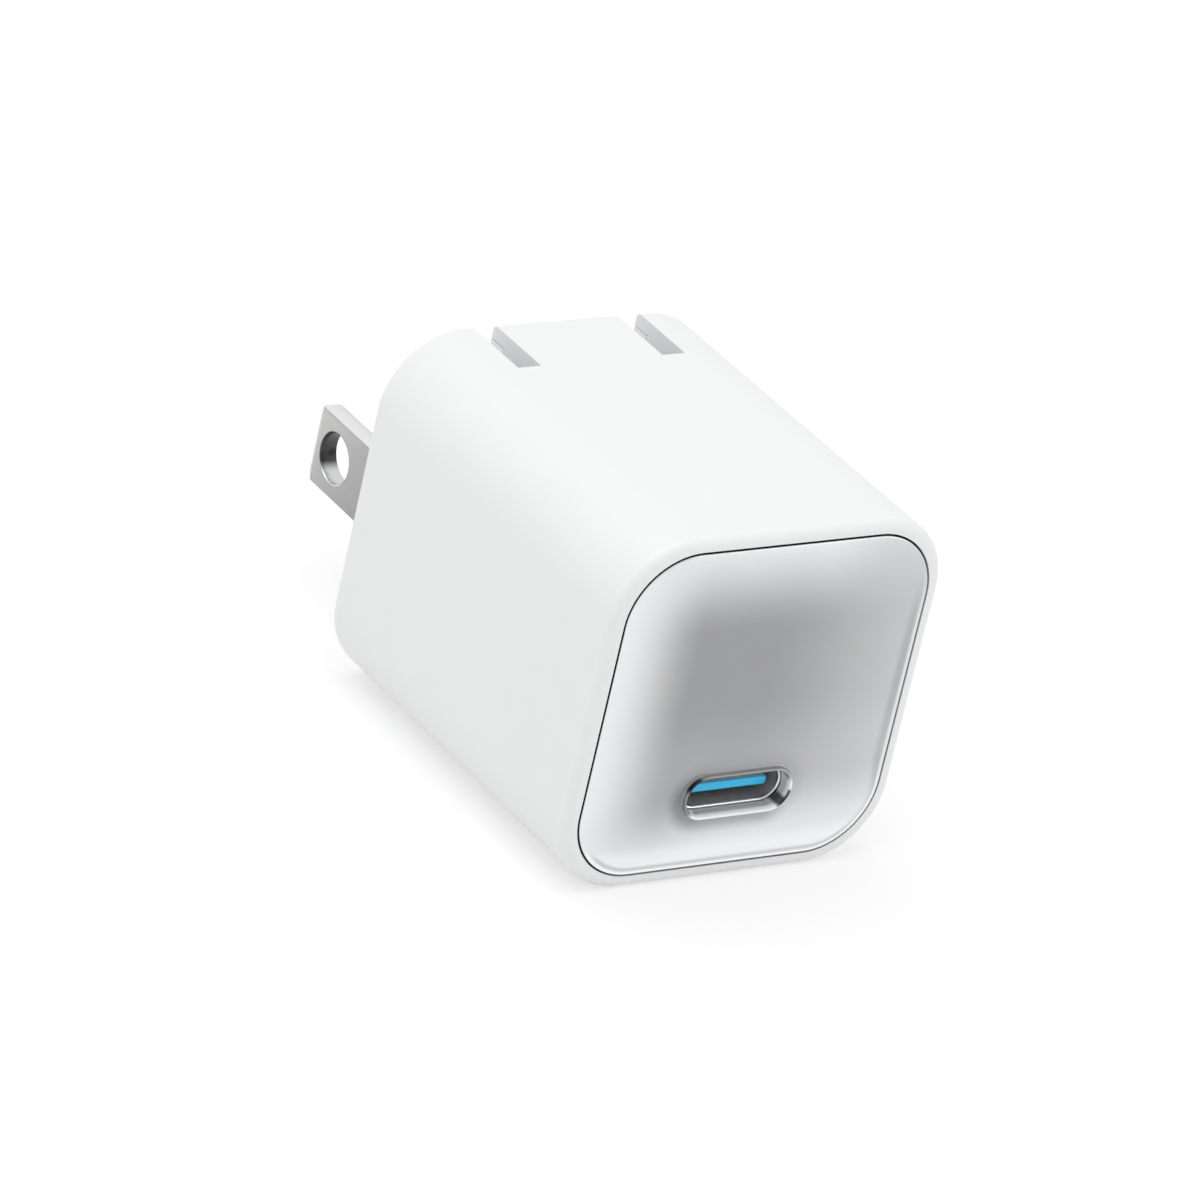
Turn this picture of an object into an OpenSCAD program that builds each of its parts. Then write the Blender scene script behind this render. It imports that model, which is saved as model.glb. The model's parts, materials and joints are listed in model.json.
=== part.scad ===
// Compact USB-C wall adapter with a folding two-blade mains plug.
// +Z is up, the socket faces -Y and the blades point along +Y.
// The origin is the centre of the body's flat bottom face.

/* [Body] */
// Width of the body, side to side
body_w = 28.5; // [28:0.1:31]
// Height of the body, bottom to top
body_h = 28.5; // [28.2:0.1:31]
// Depth of the body, front rim to rear face
body_d = 32.8; // [32.6:0.1:36]
// Radius of the four long corners of the body
corner_r = 6.2; // [5.6:0.1:6.6]
// Thickness of the side walls
wall = 1.6; // [1.4:0.05:1.7]
// Radius of the rolled edge round the front rim
front_edge_r = 0.8; // [0.4:0.05:0.95]
// Radius of the edge round the rear face
rear_edge_r = 0.5; // [0.2:0.05:0.8]
// Thickness of the wall behind the front panel
front_wall_t = 1.2; // [1:0.05:1.3]

/* [Front panel] */
// Width of the rim that is left round the front panel
rim_w = 1.05; // [1:0.05:1.4]
// Thickness of the panel at its border
panel_t = 1; // [0.8:0.05:1.1]
// Corner radius of the panel's outline
panel_corner_r = 5.5; // [4.5:0.1:6]
// How far the middle of the panel stands proud of the rim
panel_rise = 0.35; // [0.2:0.05:0.6]
// Width of the border over which the panel curves back to the rim
panel_slope_w = 3.4; // [2.5:0.1:3.8]
// Open line between the panel and the rim
panel_gap = 0.1; // [0.05:0.01:0.15]
// Thickness of the adhesive sheet behind the panel
adhesive_t = 0.15; // [0.1:0.01:0.25]

/* [USB-C socket] */
// Height of the socket's centre over the bottom face
port_z = 7.3; // [7.1:0.05:7.8]
// Width of the socket's inside
port_w = 8.34; // [8.3:0.01:8.4]
// Height of the socket's inside
port_h = 2.56; // [2.5:0.01:2.6]
// Thickness of the socket's steel shell
port_wall = 0.3; // [0.2:0.01:0.35]
// Length of the socket's shell
port_len = 7.3; // [6.8:0.05:7.5]
// How far the shell's mouth lies behind the rim plane
mouth_in = 0.42; // [0.35:0.01:0.6]
// Width of the tongue inside the socket
tongue_w = 6.69; // [6.6:0.01:6.75]
// Thickness of the tongue
tongue_t = 0.7; // [0.65:0.01:0.75]
// How far the tongue's tip lies behind the shell's mouth
tongue_in = 0.35; // [0.3:0.01:0.6]
// Thickness of the polished collar round the mouth
collar_w = 0.25; // [0.2:0.05:0.4]
// How far the collar stands proud of the panel
collar_h = 0.35; // [0.2:0.05:0.5]

/* [Blades] */
// Distance between the two blades, centre to centre
blade_pitch = 12.7; // [12.5:0.05:12.9]
// Width of a blade
blade_w = 6.3; // [6.1:0.05:6.5]
// Thickness of a blade
blade_t = 1.5; // [1.4:0.01:1.6]
// How far the blades stand out of the rear face
blade_reach = 16.8; // [16:0.1:17.3]
// Diameter of the hole in a blade
blade_hole_d = 4; // [3:0.1:4.2]
// Distance of that hole's centre from the blade's tip
blade_hole_in = 3.3; // [3.2:0.1:4.4]
// Radius of the tip's two corners
tip_r = 0.9; // [0.5:0.1:1.5]
// Length of the bevel at the tip
tip_bevel_l = 0.8; // [0.5:0.05:1.2]
// Depth of the bevel at the tip, on each face
tip_bevel_t = 0.4; // [0.2:0.05:0.5]

/* [Folding] */
// Distance of the pivot axis in front of the rear face
pivot_in = 2.275; // [2.2:0.025:2.4]
// Radius of the rotor's shaft
shaft_r = 1.25; // [1.1:0.05:1.3]
// Radius of the rotor's drums, which hold the blades
drum_r = 4.2; // [4.18:0.01:4.3]
// Distance from the pivot axis to the drums' two stop faces
drum_flat = 0.5; // [0.4:0.05:0.6]
// Width of plastic on each side of a blade in its drum
drum_side = 1.45; // [1.2:0.05:1.6]
// Radial clearance of the shaft in its bearings
shaft_clear = 0.05; // [0.03:0.01:0.08]
// Gap between a drum's stop face and the cover at the end of its travel
stop_gap = 0.025; // [0.02:0.005:0.05]
// Gap between a blade and the sides of its slot
slot_side = 0.25; // [0.2:0.01:0.35]
// Gap at the edges and at the tip of a folded blade
slot_edge = 0.15; // [0.1:0.01:0.25]

/* [Boards] */
// Thickness of the main board
board_t = 1.2; // [1:0.05:1.3]
// Thickness of the upright control board
control_t = 1; // [0.8:0.05:1.2]
// Thickness of the inner frame
frame_t = 0.7; // [0.6:0.05:0.8]
// Thickness of the spring strip of the mains contacts
spring_t = 0.25; // [0.2:0.01:0.3]

/* [Hidden] */
$fn = 64;
over = 1;                                  // how far a cutter runs past a face
yf = -body_d / 2;                          // rim plane at the front
yr = body_d / 2;                           // rear face
blade_x = [-blade_pitch / 2, blade_pitch / 2];

// Front panel
pocket_d = panel_t + adhesive_t;
wall_in_y = yf + pocket_d + front_wall_t;  // inner face of the front wall

// Folding plug
slot_w = blade_t + 2 * slot_side;
slot_d = blade_w + 2 * slot_edge;
pivot_y = yr - pivot_in;
pivot_z = body_h - slot_edge - blade_reach - pivot_in;
blade_z = pivot_z + slot_d / 2 - pivot_in;
root_r = pivot_z - (blade_z - blade_w / 2);
tip_y = yr + blade_reach;
cover_t = pivot_in - drum_flat - stop_gap;
cover_rim = 1.1;                           // rim that is left round the rear cover
cover_gap = 0.06;                          // line between that rim and the cover
cover_in_y = yr - cover_t;
well_wall = 0.8;
drum_w = blade_t + 2 * drum_side;
tang_r = drum_r + 0.1;
tang_low = 0.4;                            // the tang's lower edge, over the axis
strip_w = 1.6;                             // width of a mains contact
tang_h = 2.6;
contact_gap = 0.03;
well_gap = 0.1;
well_low = pivot_z + tang_r + well_gap;    // underside of the blade wells
block_y = pivot_y - tang_r - contact_gap - spring_t;  // rear face of the contact block
block_t = 1.25;
cheek_t = 1.4;                             // thickness of a bearing cheek
cheek_gap = 0.65;
cheek_x = blade_pitch / 2 + drum_w / 2 + cheek_gap;
cheek_h = 5.2;
cheek_l = 2.6;
cheek_y = pivot_y - cheek_l;               // front end of the bearing cheeks
bearing_r = shaft_r + shaft_clear;
shaft_in = 0.1;
shaft_end = cheek_x + cheek_t - shaft_in;
cam_w = 5;                                 // detent cam in the middle of the rotor
cam_flat = 2.7;
cam_r = 3.1;
detent_gap = 0.05;
detent_w = 4.4;
detent_flat = 1;                           // half height of the leaf's flat middle
detent_foot = 2.4;
detent_end = 3.2;
adhesive_in = 0.8;                         // the sheet stays inside the panel's outline

// USB-C socket
shell_w = port_w + 2 * port_wall;
shell_h = port_h + 2 * port_wall;
mouth_y = yf + mouth_in;
tongue_y = mouth_y + tongue_in;
socket_end = mouth_y + port_len;
socket_base_l = 2.2;                       // depth of the moulding at the back
shell_fit = 0.08;                          // gap round the shell in wall and panel
mouth_grow = port_wall + shell_fit;        // from the socket's inside out to its hole in the panel
collar_y = yf - panel_rise - collar_h;     // front of the collar round that hole
plate_t = 0.15;                            // shield plate inside the tongue
plate_in = 0.5;
plate_back = 0.6;
contact_pitch = 0.5;
contact_count = 12;
contact_w = 0.26;
contact_l = 3.4;
contact_t = 0.06;
contact_in = 0.6;
tab_l = 0.9;                               // solder tabs of the shell
tab_in = 2.75;
tab_pitch = 3.15;
tab_below = 0.3;
tab_gap = 0.1;
tab_y = [mouth_y + tab_in, mouth_y + tab_in + tab_pitch];

// Inner frame and boards
frame_fit = 0.05;
frame_in = wall + frame_fit + frame_t;     // the frame's inner face, from the outside
frame_end = block_y - block_t - frame_fit;
inner_x = body_w / 2 - frame_in;
inner_top = body_h - frame_in;
part_gap = 0.3;                            // least room between neighbours inside
board_top = port_z - shell_h / 2;
board_low = board_top - board_t;
board_side = 0.7;                          // room between the board and the frame
board_x = inner_x - board_side;
board_y0 = wall_in_y + part_gap;
board_y1 = frame_end - part_gap;
rail_grip = 0.7;                           // how far a rail reaches over the board's edge
rail_h = 0.9;
rail_x = board_x - rail_grip;
pin_r = 0.3;
pin_gap = 0.08;
pin_below = 0.6;                           // how far a pin stands out under the board

// Row 1: two upright capacitors, one on each side of the socket
can_gap = 0.18;
can_r = (rail_x - shell_w / 2 - 2 * can_gap) / 2;
can_x = shell_w / 2 + can_gap + can_r;
can_y = board_y0 + can_r;
can_pin = 1;
can_room = 1.5;                            // under the bulk capacitors
can_step = 2.6;                            // the output can is that much lower

// Row 4: the feet of the mains contacts, and row 3: the leads of the bulk capacitors
foot_l = 1.2;
foot_y = board_y1 - foot_l;
lead_r = 0.25;
lead_half = 1.75;
lead_y = foot_y - lead_r - pin_gap - 0.5 * part_gap;

// Right side: spreader, pad, chip, control board and bridge, from the frame inwards
spreader_t = 0.45;
pad_t = 0.4;
pad_w = 7;
chip_t = 0.85;
chip_w = 6;
bridge_t = 1.4;
bridge_w = 5;
bridge_h = 4.4;
control_x = inner_x - spreader_t - pad_t - chip_t - control_t;
control_head = 4.9;                        // room over the control board
control_top = inner_top - control_head;

// Row 2, at the rear of the board: film capacitor and choke
film_t = 3.2;
film_h = 8;
film_y = lead_y - lead_r - part_gap - film_t / 2;
film_pin_in = 1.4;
choke_t = 2.2;
choke_r = 3.6;
choke_hole_r = 1.6;
choke_base_t = 0.7;
choke_base_w = 7.6;
choke_base_d = 3.1;
choke_cradle = 2.1;                        // how far the cradle rises round the ring
choke_pin = 2.8;
wire_t = 0.3;                              // depth of the choke's windings
wire_split = 2;                            // room between its two windings
choke_room = 1.1;
choke_x = control_x - choke_room - choke_r - wire_t;
choke_y = film_y;
choke_z = board_top + choke_base_t + choke_r + wire_t;
film_x0 = part_gap - rail_x;
film_x1 = choke_x - choke_r - wire_t - 3 * part_gap;
film_x = (film_x0 + film_x1) / 2;

// Transformer: an upright EE core in the room between the rows
tr_y0 = max(socket_end, can_y + can_r) + part_gap;
tr_y1 = film_y - film_t / 2 - part_gap;
tr_y = (tr_y0 + tr_y1) / 2;
tr_depth = tr_y1 - tr_y0;
disc_t = 1.6;
disc_gap = 0.05;
disc_lift = 1;
disc_foot = 4;
disc_pin = 1.6;
fuse_r = 0.75;
fuse_h = 7;
fuse_x = disc_gap + fuse_r - rail_x;
fuse_y = tr_y0 + fuse_r;
disc_x = disc_gap + disc_t / 2 - rail_x;
disc_r = (tr_depth - 2 * fuse_r - part_gap) / 2;
disc_y = tr_y1 - disc_r;
disc_z = board_top + disc_lift + disc_r;
core_x0 = disc_x + disc_t / 2 + part_gap;
core_x1 = control_x - bridge_t - part_gap;
core_w = core_x1 - core_x0;
tr_x = (core_x0 + core_x1) / 2;
tube_t = 0.6;                              // wall of the bobbin
winding_t = 2;
winding_gap = 0.2;
winding_round = 1.6;
core_d = tr_depth - 2 * tube_t - 2 * winding_t;
core_plate = 2.2;
core_side = 2.2;
post_w = core_w - 2 * core_side - 2 * winding_gap - 2 * winding_t - 2 * tube_t;
core_lift = 1.1;
core_z = board_top + core_lift;            // underside of the core
bulk_r = 4;
core_top = inner_top - 2 * bulk_r - part_gap;
core_mid = (core_z + core_top) / 2;
input_can_h = core_top - board_top - can_room;
output_can_h = input_can_h - can_step;
core_leg = core_mid - core_z - core_plate;
rail_pin_t = 1.6;                          // the bobbin's two pin rails
rail_pin_w = 12;
pin_rail_y = tr_depth / 2 - rail_pin_t / 2;
tr_pin_pitch = 3;
tr_pin_count = 4;
pin_up = 1;                                // how far the pins reach into the rails
tr_pins = [for (i = [0 : tr_pin_count - 1], s = [-1, 1])
    [tr_x + (i - (tr_pin_count - 1) / 2) * tr_pin_pitch, tr_y + s * pin_rail_y]];

// Two bulk capacitors lie on the transformer, with their leads at the rear
bulk_side = 1.3;
bulk_l = 15.5;
bulk_gap = 0.2;
bung_l = 1;
bung_in = 0.4;
bulk_z = core_top + bulk_r;
bulk_x = [bulk_side + bulk_r - inner_x, bulk_side + bulk_gap + 3 * bulk_r - inner_x];
lead_out = 1;
bulk_y1 = lead_y - lead_out;               // rear end of a bulk capacitor
bulk_pins = [for (x = bulk_x, s = [-1, 1]) [x + s * lead_half, lead_y]];

side_pins = [
    [disc_x, disc_y - disc_pin], [disc_x, disc_y + disc_pin],
    [film_x0 + film_pin_in, film_y], [film_x1 - film_pin_in, film_y],
    [choke_x - choke_pin, choke_y], [choke_x + choke_pin, choke_y],
    [fuse_x, fuse_y],
    [-can_x - can_pin, can_y], [-can_x + can_pin, can_y],
    [can_x - can_pin, can_y], [can_x + can_pin, can_y],
];
board_pins = concat(tr_pins, bulk_pins, side_pins);

// Control board, its chips and the spreader
control_y0 = tr_y0;
control_y1 = board_y1 - 2 * part_gap;
chip_y = (control_y0 + control_y1) / 2;
chip_z = (board_top + control_top) / 2;
bridge_y = tr_y;
spreader_in = 1.5;
spreader_z0 = board_top + rail_h + spreader_in;
spreader_z1 = control_top - part_gap;

// Small parts under the main board
rectifier_w = 6;
rectifier_d = 4;
rectifier_h = 0.9;
rectifier_x = 4.8;
pd_w = 4;
pd_h = 0.8;
pd_x = -1.2;
pd_y = tr_y0 - part_gap - pd_w / 2;
opto_w = 6.6;
opto_d = 4.2;
opto_h = 1.7;
opto_x = -2.6;
small_w = 1.6;                             // chip capacitors and resistors
small_d = 0.8;
small_cap_h = 0.8;
small_cap_pitch = 2;
small_cap_x = 1.9;
small_cap_count = 4;
resistor_h = 0.45;
resistor_x = -1.6;
resistor_pitch = 2.2;
resistor_count = 5;

// ---- Shapes that several parts share ----

// A rectangle w by h with corner radius r, centred
module rounded_rect(w, h, r) {
    union() {
        square([w - 2 * r, h], center = true);
        square([w, h - 2 * r], center = true);
        for (sx = [-1, 1], sy = [-1, 1])
            translate([sx * (w / 2 - r), sy * (h / 2 - r)]) circle(r);
    }
}

// A slot w by h with round ends, centred
module stadium(w, h) {
    union() {
        square([w - h, h], center = true);
        for (s = [-1, 1]) translate([s * (w - h) / 2, 0]) circle(h / 2);
    }
}

// An outline drawn in X and Z, pushed from y0 to y1
module along_y(y0, y1) {
    translate([0, y1, 0]) rotate([90, 0, 0]) linear_extrude(y1 - y0) children();
}

// An outline drawn in Y and Z, pushed from x0 to x1
module along_x(x0, x1) {
    translate([x0, 0, 0]) rotate([90, 0, 90]) linear_extrude(x1 - x0) children();
}

// A box between two opposite corners
module box(low, high) {
    translate(low) cube(high - low);
}

// The body's front outline, taken in by inset on every side
module body_outline(inset) {
    translate([0, body_h / 2])
        rounded_rect(body_w - 2 * inset, body_h - 2 * inset, corner_r - inset);
}

// The front panel's outline, taken in by inset on every side
module panel_outline(inset) {
    side = rim_w + inset;
    translate([0, body_h / 2])
        rounded_rect(body_w - 2 * side, body_h - 2 * side, panel_corner_r - inset);
}

// The socket's outline grown by grow on every side, in X and Z
module socket_outline(grow) {
    translate([0, port_z]) stadium(port_w + 2 * grow, port_h + 2 * grow);
}

// ---- Housing ----

// Depth by span, with the front corners and the rear corners rolled
module rolled_outline(span) {
    union() {
        translate([yf + front_edge_r, -span / 2])
            square([body_d - front_edge_r - rear_edge_r, span]);
        translate([yf, front_edge_r - span / 2])
            square([body_d / 2, span - 2 * front_edge_r]);
        translate([0, rear_edge_r - span / 2])
            square([body_d / 2, span - 2 * rear_edge_r]);
        for (s = [-1, 1]) {
            translate([yf + front_edge_r, s * (span / 2 - front_edge_r)]) circle(front_edge_r);
            translate([yr - rear_edge_r, s * (span / 2 - rear_edge_r)]) circle(rear_edge_r);
        }
    }
}

// Radius against depth of one corner post of the body
module post_outline() {
    intersection() {
        translate([0, yf]) square([corner_r, body_d]);
        rotate([0, 0, 90]) rolled_outline(2 * corner_r);
    }
}

// The body as a solid block with all of its edges rolled
module body_block() {
    flat_x = body_w / 2 - corner_r;
    union() {
        along_x(-flat_x, flat_x) translate([0, body_h / 2]) rolled_outline(body_h);
        translate([0, 0, corner_r]) linear_extrude(body_h - 2 * corner_r)
            rotate([0, 0, 90]) rolled_outline(body_w);
        for (sx = [-1, 1], z = [corner_r, body_h - corner_r])
            translate([sx * flat_x, 0, z]) rotate([-90, 0, 0]) rotate_extrude() post_outline();
    }
}

// The room that the folded blades take at the rear, up through the top
module blade_slots(z0, z1) {
    for (x = blade_x)
        box([x - slot_w / 2, yr - slot_d, z0], [x + slot_w / 2, yr + over, z1]);
}

module housing_shell() {
    color("white") difference() {
        body_block();
        along_y(wall_in_y, yr + over) body_outline(wall);
        along_y(cover_in_y, yr + over) body_outline(cover_rim);
        along_y(yf - over, yf + pocket_d) panel_outline(0);
        along_y(yf, wall_in_y + over) socket_outline(port_wall + shell_fit);
        blade_slots(body_h - wall - over, body_h + over);
    }
}

module front_panel() {
    color("silver") difference() {
        union() {
            hull($fn = 32) {
                along_y(yf, yf + panel_t) panel_outline(panel_gap);
                along_y(yf - panel_rise * 0.6, yf) panel_outline(panel_slope_w * 0.35);
                along_y(yf - panel_rise, yf) panel_outline(panel_slope_w);
            }
            hull() {
                along_y(collar_y + collar_w / 2, yf) socket_outline(mouth_grow + collar_w);
                along_y(collar_y, yf) socket_outline(mouth_grow + collar_w / 2);
            }
        }
        along_y(collar_y - over, yf + panel_t + over) socket_outline(mouth_grow);
    }
}

module panel_adhesive() {
    color("dimgray") difference() {
        along_y(yf + panel_t, yf + pocket_d) panel_outline(adhesive_in);
        along_y(yf, yf + pocket_d + over) socket_outline(port_wall + adhesive_in);
    }
}

// ---- Folding plug ----

// One blade's flat outline in Y and Z, with its root round the pivot and its tang
module blade_outline() {
    low = blade_z - blade_w / 2;
    difference() {
        union() {
            translate([pivot_y, low]) square([tip_y - tip_r - pivot_y, blade_w]);
            translate([pivot_y, low + tip_r]) square([tip_y - pivot_y, blade_w - 2 * tip_r]);
            for (z = [low + tip_r, low + blade_w - tip_r]) translate([tip_y - tip_r, z]) circle(tip_r);
            translate([pivot_y, pivot_z]) circle(root_r);
            intersection() {
                translate([pivot_y, pivot_z]) circle(tang_r);
                translate([pivot_y - tang_r, pivot_z + tang_low]) square([tang_r, tang_h]);
            }
        }
        translate([pivot_y, pivot_z]) circle(shaft_r);
        translate([tip_y - blade_hole_in, blade_z]) circle(blade_hole_d / 2);
    }
}

// What the bevel takes off one face at the tip: s is -1 for the left face
module tip_waste(s) {
    face = s * blade_t / 2;
    edge = face - s * tip_bevel_t;
    far = face + s * over;
    translate([0, 0, blade_z - blade_w]) linear_extrude(2 * blade_w) polygon([
        [face, tip_y - tip_bevel_l], [edge, tip_y], [edge, tip_y + over],
        [far, tip_y + over], [far, tip_y - tip_bevel_l]
    ]);
}

// A blade centred on x
module blade(x) {
    color("silver") translate([x, 0, 0]) difference() {
        along_x(-blade_t / 2, blade_t / 2) blade_outline();
        for (s = [-1, 1]) tip_waste(s);
    }
}

module blade_left() { blade(blade_x[0]); }

module blade_right() { blade(blade_x[1]); }

// Part of a disc round the pivot, cut by stop faces at flat and, if it has a cam, at side
module drum_outline(r, side) {
    intersection() {
        translate([pivot_y, pivot_z]) circle(r);
        translate([pivot_y - side, pivot_z - drum_flat])
            square([side + drum_flat, side + drum_flat]);
    }
}

// The insulating carrier that is moulded round both blades
module prong_rotor() {
    color("whitesmoke") difference() {
        union() {
            translate([-shaft_end, pivot_y, pivot_z]) rotate([0, 90, 0])
                cylinder(r = shaft_r, h = 2 * shaft_end);
            for (x = blade_x) along_x(x - drum_w / 2, x + drum_w / 2) drum_outline(drum_r, drum_r);
            along_x(-cam_w / 2, cam_w / 2) drum_outline(cam_r, cam_flat);
        }
        for (x = blade_x) along_x(x - blade_t / 2, x + blade_t / 2) blade_outline();
    }
}

// The cover with its blade wells and the two cheeks that carry the rotor
module rear_cover() {
    slot_low = pivot_z - root_r - slot_edge;
    color("white") difference() {
        union() {
            along_y(cover_in_y, yr) body_outline(cover_rim + cover_gap);
            intersection() {
                along_y(yr - slot_d - well_wall, cover_in_y + over / 2) body_outline(wall);
                union() for (x = blade_x) box(
                    [x - slot_w / 2 - well_wall, yr - slot_d - well_wall, well_low],
                    [x + slot_w / 2 + well_wall, yr, body_h]
                );
            }
            for (s = [-1, 1]) {
                x = s * (cheek_x + cheek_t / 2);
                box([x - cheek_t / 2, cheek_y, pivot_z - cheek_h / 2],
                    [x + cheek_t / 2, cover_in_y + over / 2, pivot_z + cheek_h / 2]);
            }
        }
        blade_slots(slot_low, body_h + over);
        for (s = [-1, 1]) {
            x = s * (cheek_x + cheek_t / 2);
            box([x - cheek_t, cheek_y - over, pivot_z - bearing_r],
                [x + cheek_t, pivot_y, pivot_z + bearing_r]);
        }
        translate([-cheek_x - 2 * cheek_t, pivot_y, pivot_z]) rotate([0, 90, 0])
            cylinder(r = bearing_r, h = 2 * cheek_x + 4 * cheek_t);
    }
}

// The block behind the rotor: it closes the bearings and carries the springs
module contact_block() {
    color("ivory") union() {
        box([-cheek_x - cheek_t, block_y - block_t, board_top + spring_t],
            [cheek_x + cheek_t, block_y, well_low]);
        for (s = [-1, 1]) {
            x = s * (cheek_x + cheek_t / 2);
            box([x - cheek_t / 2, block_y - block_t / 2, pivot_z - cheek_h / 2],
                [x + cheek_t / 2, cheek_y, pivot_z + cheek_h / 2]);
            box([x - cheek_t / 2, block_y, pivot_z - bearing_r],
                [x + cheek_t / 2, pivot_y - bearing_r, pivot_z + bearing_r]);
        }
    }
}

// A mains contact: a foot on the board and an upright leaf that meets the tang
module contact_spring(x) {
    color("goldenrod") along_x(x - strip_w / 2, x + strip_w / 2) union() {
        translate([foot_y, board_top]) square([block_y + spring_t - foot_y, spring_t]);
        translate([block_y, board_top]) square([spring_t, pivot_z + tang_h - board_top]);
    }
}

module contact_spring_left() { contact_spring(blade_x[0]); }

module contact_spring_right() { contact_spring(blade_x[1]); }

// The bowed leaf that clicks on the cam's two flats
module detent_spring() {
    face = pivot_y - cam_r - detent_gap;
    color("lightsteelblue") along_x(-detent_w / 2, detent_w / 2) union() {
        translate([face - spring_t, pivot_z - detent_flat]) square([spring_t, 2 * detent_flat]);
        for (s = [-1, 1]) polygon([
            [face, pivot_z + s * (detent_flat - spring_t)], [face, pivot_z + s * detent_flat],
            [block_y + spring_t, pivot_z + s * detent_foot],
            [block_y + spring_t, pivot_z + s * detent_end],
            [block_y, pivot_z + s * detent_end], [block_y, pivot_z + s * (detent_foot - spring_t)],
            [face - spring_t, pivot_z + s * (detent_flat - spring_t)]
        ]);
    }
}

// ---- Inner frame and socket ----

module inner_frame() {
    color("lightgray") union() {
        difference() {
            along_y(wall_in_y, frame_end) body_outline(wall + frame_fit);
            along_y(wall_in_y - over, frame_end + over) body_outline(frame_in);
        }
        intersection() {
            along_y(wall_in_y, frame_end) body_outline(wall + frame_fit);
            union() for (s = [-1, 1], z = [board_low - rail_h, board_top]) {
                x = s * (rail_x + inner_x + frame_t / 2) / 2;
                half = (inner_x + frame_t / 2 - rail_x) / 2;
                box([x - half, wall_in_y, z], [x + half, frame_end, z + rail_h]);
            }
        }
    }
}

module usb_shell() {
    color("gainsboro") union() {
        difference() {
            along_y(mouth_y, socket_end) socket_outline(port_wall);
            along_y(mouth_y - over, socket_end + over) socket_outline(0);
        }
        for (s = [-1, 1], y = tab_y) {
            x = s * (shell_w - port_wall) / 2;
            box([x - port_wall / 2, y, board_low - tab_below],
                [x + port_wall / 2, y + tab_l, port_z]);
        }
    }
}

// The blue moulding: the tongue in front and the base that fills the shell's back
module usb_tongue() {
    color("deepskyblue") difference() {
        union() {
            along_y(tongue_y, socket_end) translate([0, port_z])
                rounded_rect(tongue_w, tongue_t, tongue_t / 3);
            along_y(socket_end - socket_base_l, socket_end) socket_outline(0);
        }
        usb_plate_box();
    }
}

// The room of the shield plate inside the tongue
module usb_plate_box() {
    box([-tongue_w / 2 - over / 4, tongue_y + plate_in, port_z - plate_t / 2],
        [tongue_w / 2 + over / 4, socket_end - plate_back, port_z + plate_t / 2]);
}

module usb_mid_plate() {
    color("silver") intersection() {
        usb_plate_box();
        box([-tongue_w / 2, yf, 0], [tongue_w / 2, yr, body_h]);
    }
}

// Twelve contact strips on each side of the tongue
module usb_contacts() {
    span = (contact_count - 1) * contact_pitch;
    color("gold") for (i = [0 : contact_count - 1], s = [-1, 1]) {
        x = i * contact_pitch - span / 2;
        z = port_z + s * (tongue_t + contact_t) / 2;
        box([x - contact_w / 2, tongue_y + contact_in, z - contact_t / 2],
            [x + contact_w / 2, tongue_y + contact_in + contact_l, z + contact_t / 2]);
    }
}

// ---- Boards ----

module main_board() {
    color("darkgreen") difference() {
        box([-board_x, board_y0, board_low], [board_x, board_y1, board_top]);
        for (p = board_pins) translate([p[0], p[1], board_low - over])
            cylinder(r = pin_r + pin_gap, h = board_t + 2 * over);
        for (s = [-1, 1], y = tab_y) {
            x = s * (shell_w - port_wall) / 2;
            half = port_wall / 2 + tab_gap;
            box([x - half, y - tab_gap, board_low - over],
                [x + half, y + tab_l + tab_gap, board_top + over]);
        }
    }
}

module control_board() {
    color("darkgreen")
        box([control_x, control_y0, board_top], [control_x + control_t, control_y1, control_top]);
}

// ---- Transformer ----

// One half of the ferrite core: s is 1 for the lower half
module core_half(s) {
    color("dimgray") translate([tr_x, tr_y, core_mid]) mirror([0, 0, s > 0 ? 0 : 1])
        along_y(-core_d / 2, core_d / 2) difference() {
            translate([-core_w / 2, -core_leg - core_plate]) square([core_w, core_leg + core_plate]);
            for (k = [-1, 1]) translate([k * (core_w / 2 + post_w / 2 - core_side) / 2, over / 2])
                square([core_w / 2 - core_side - post_w / 2, 2 * core_leg + over], center = true);
        }
}

module transformer_core_lower() { core_half(1); }

module transformer_core_upper() { core_half(-1); }

// A level layer of the bobbin: the post's outline grown by grow
module bobbin_layer(z0, z1, grow) {
    translate([tr_x, tr_y, z0]) linear_extrude(z1 - z0)
        rounded_rect(post_w + 2 * grow, core_d + 2 * grow, winding_round * grow / (tube_t + winding_t));
}

module transformer_bobbin() {
    low = core_mid - core_leg;
    high = core_mid + core_leg;
    color("saddlebrown") difference() {
        union() {
            bobbin_layer(low, high, tube_t);
            bobbin_layer(low, low + tube_t, tube_t + winding_t);
            bobbin_layer(high - tube_t, high, tube_t + winding_t);
            for (s = [-1, 1]) translate([tr_x, tr_y + s * pin_rail_y, 0]) box(
                [-rail_pin_w / 2, -rail_pin_t / 2, board_top],
                [rail_pin_w / 2, rail_pin_t / 2, low + tube_t]
            );
        }
        translate([tr_x, tr_y, 0])
            box([-post_w / 2, -core_d / 2, low - over], [post_w / 2, core_d / 2, high + over]);
        for (p = tr_pins) translate([p[0], p[1], board_top - over])
            cylinder(r = pin_r, h = pin_up + over);
    }
}

module transformer_winding() {
    low = core_mid - core_leg + tube_t;
    high = core_mid + core_leg - tube_t;
    color("gold") difference() {
        bobbin_layer(low, high, tube_t + winding_t - winding_gap);
        bobbin_layer(low - over, high + over, tube_t);
    }
}

// Pins at the given places, from under the board up to height h over it
module pins(places, r, h) {
    for (p = places) translate([p[0], p[1], board_low - pin_below])
        cylinder(r = r, h = board_t + pin_below + h);
}

module transformer_pins() { color("silver") pins(tr_pins, pin_r, pin_up); }

// ---- Capacitors ----

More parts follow.
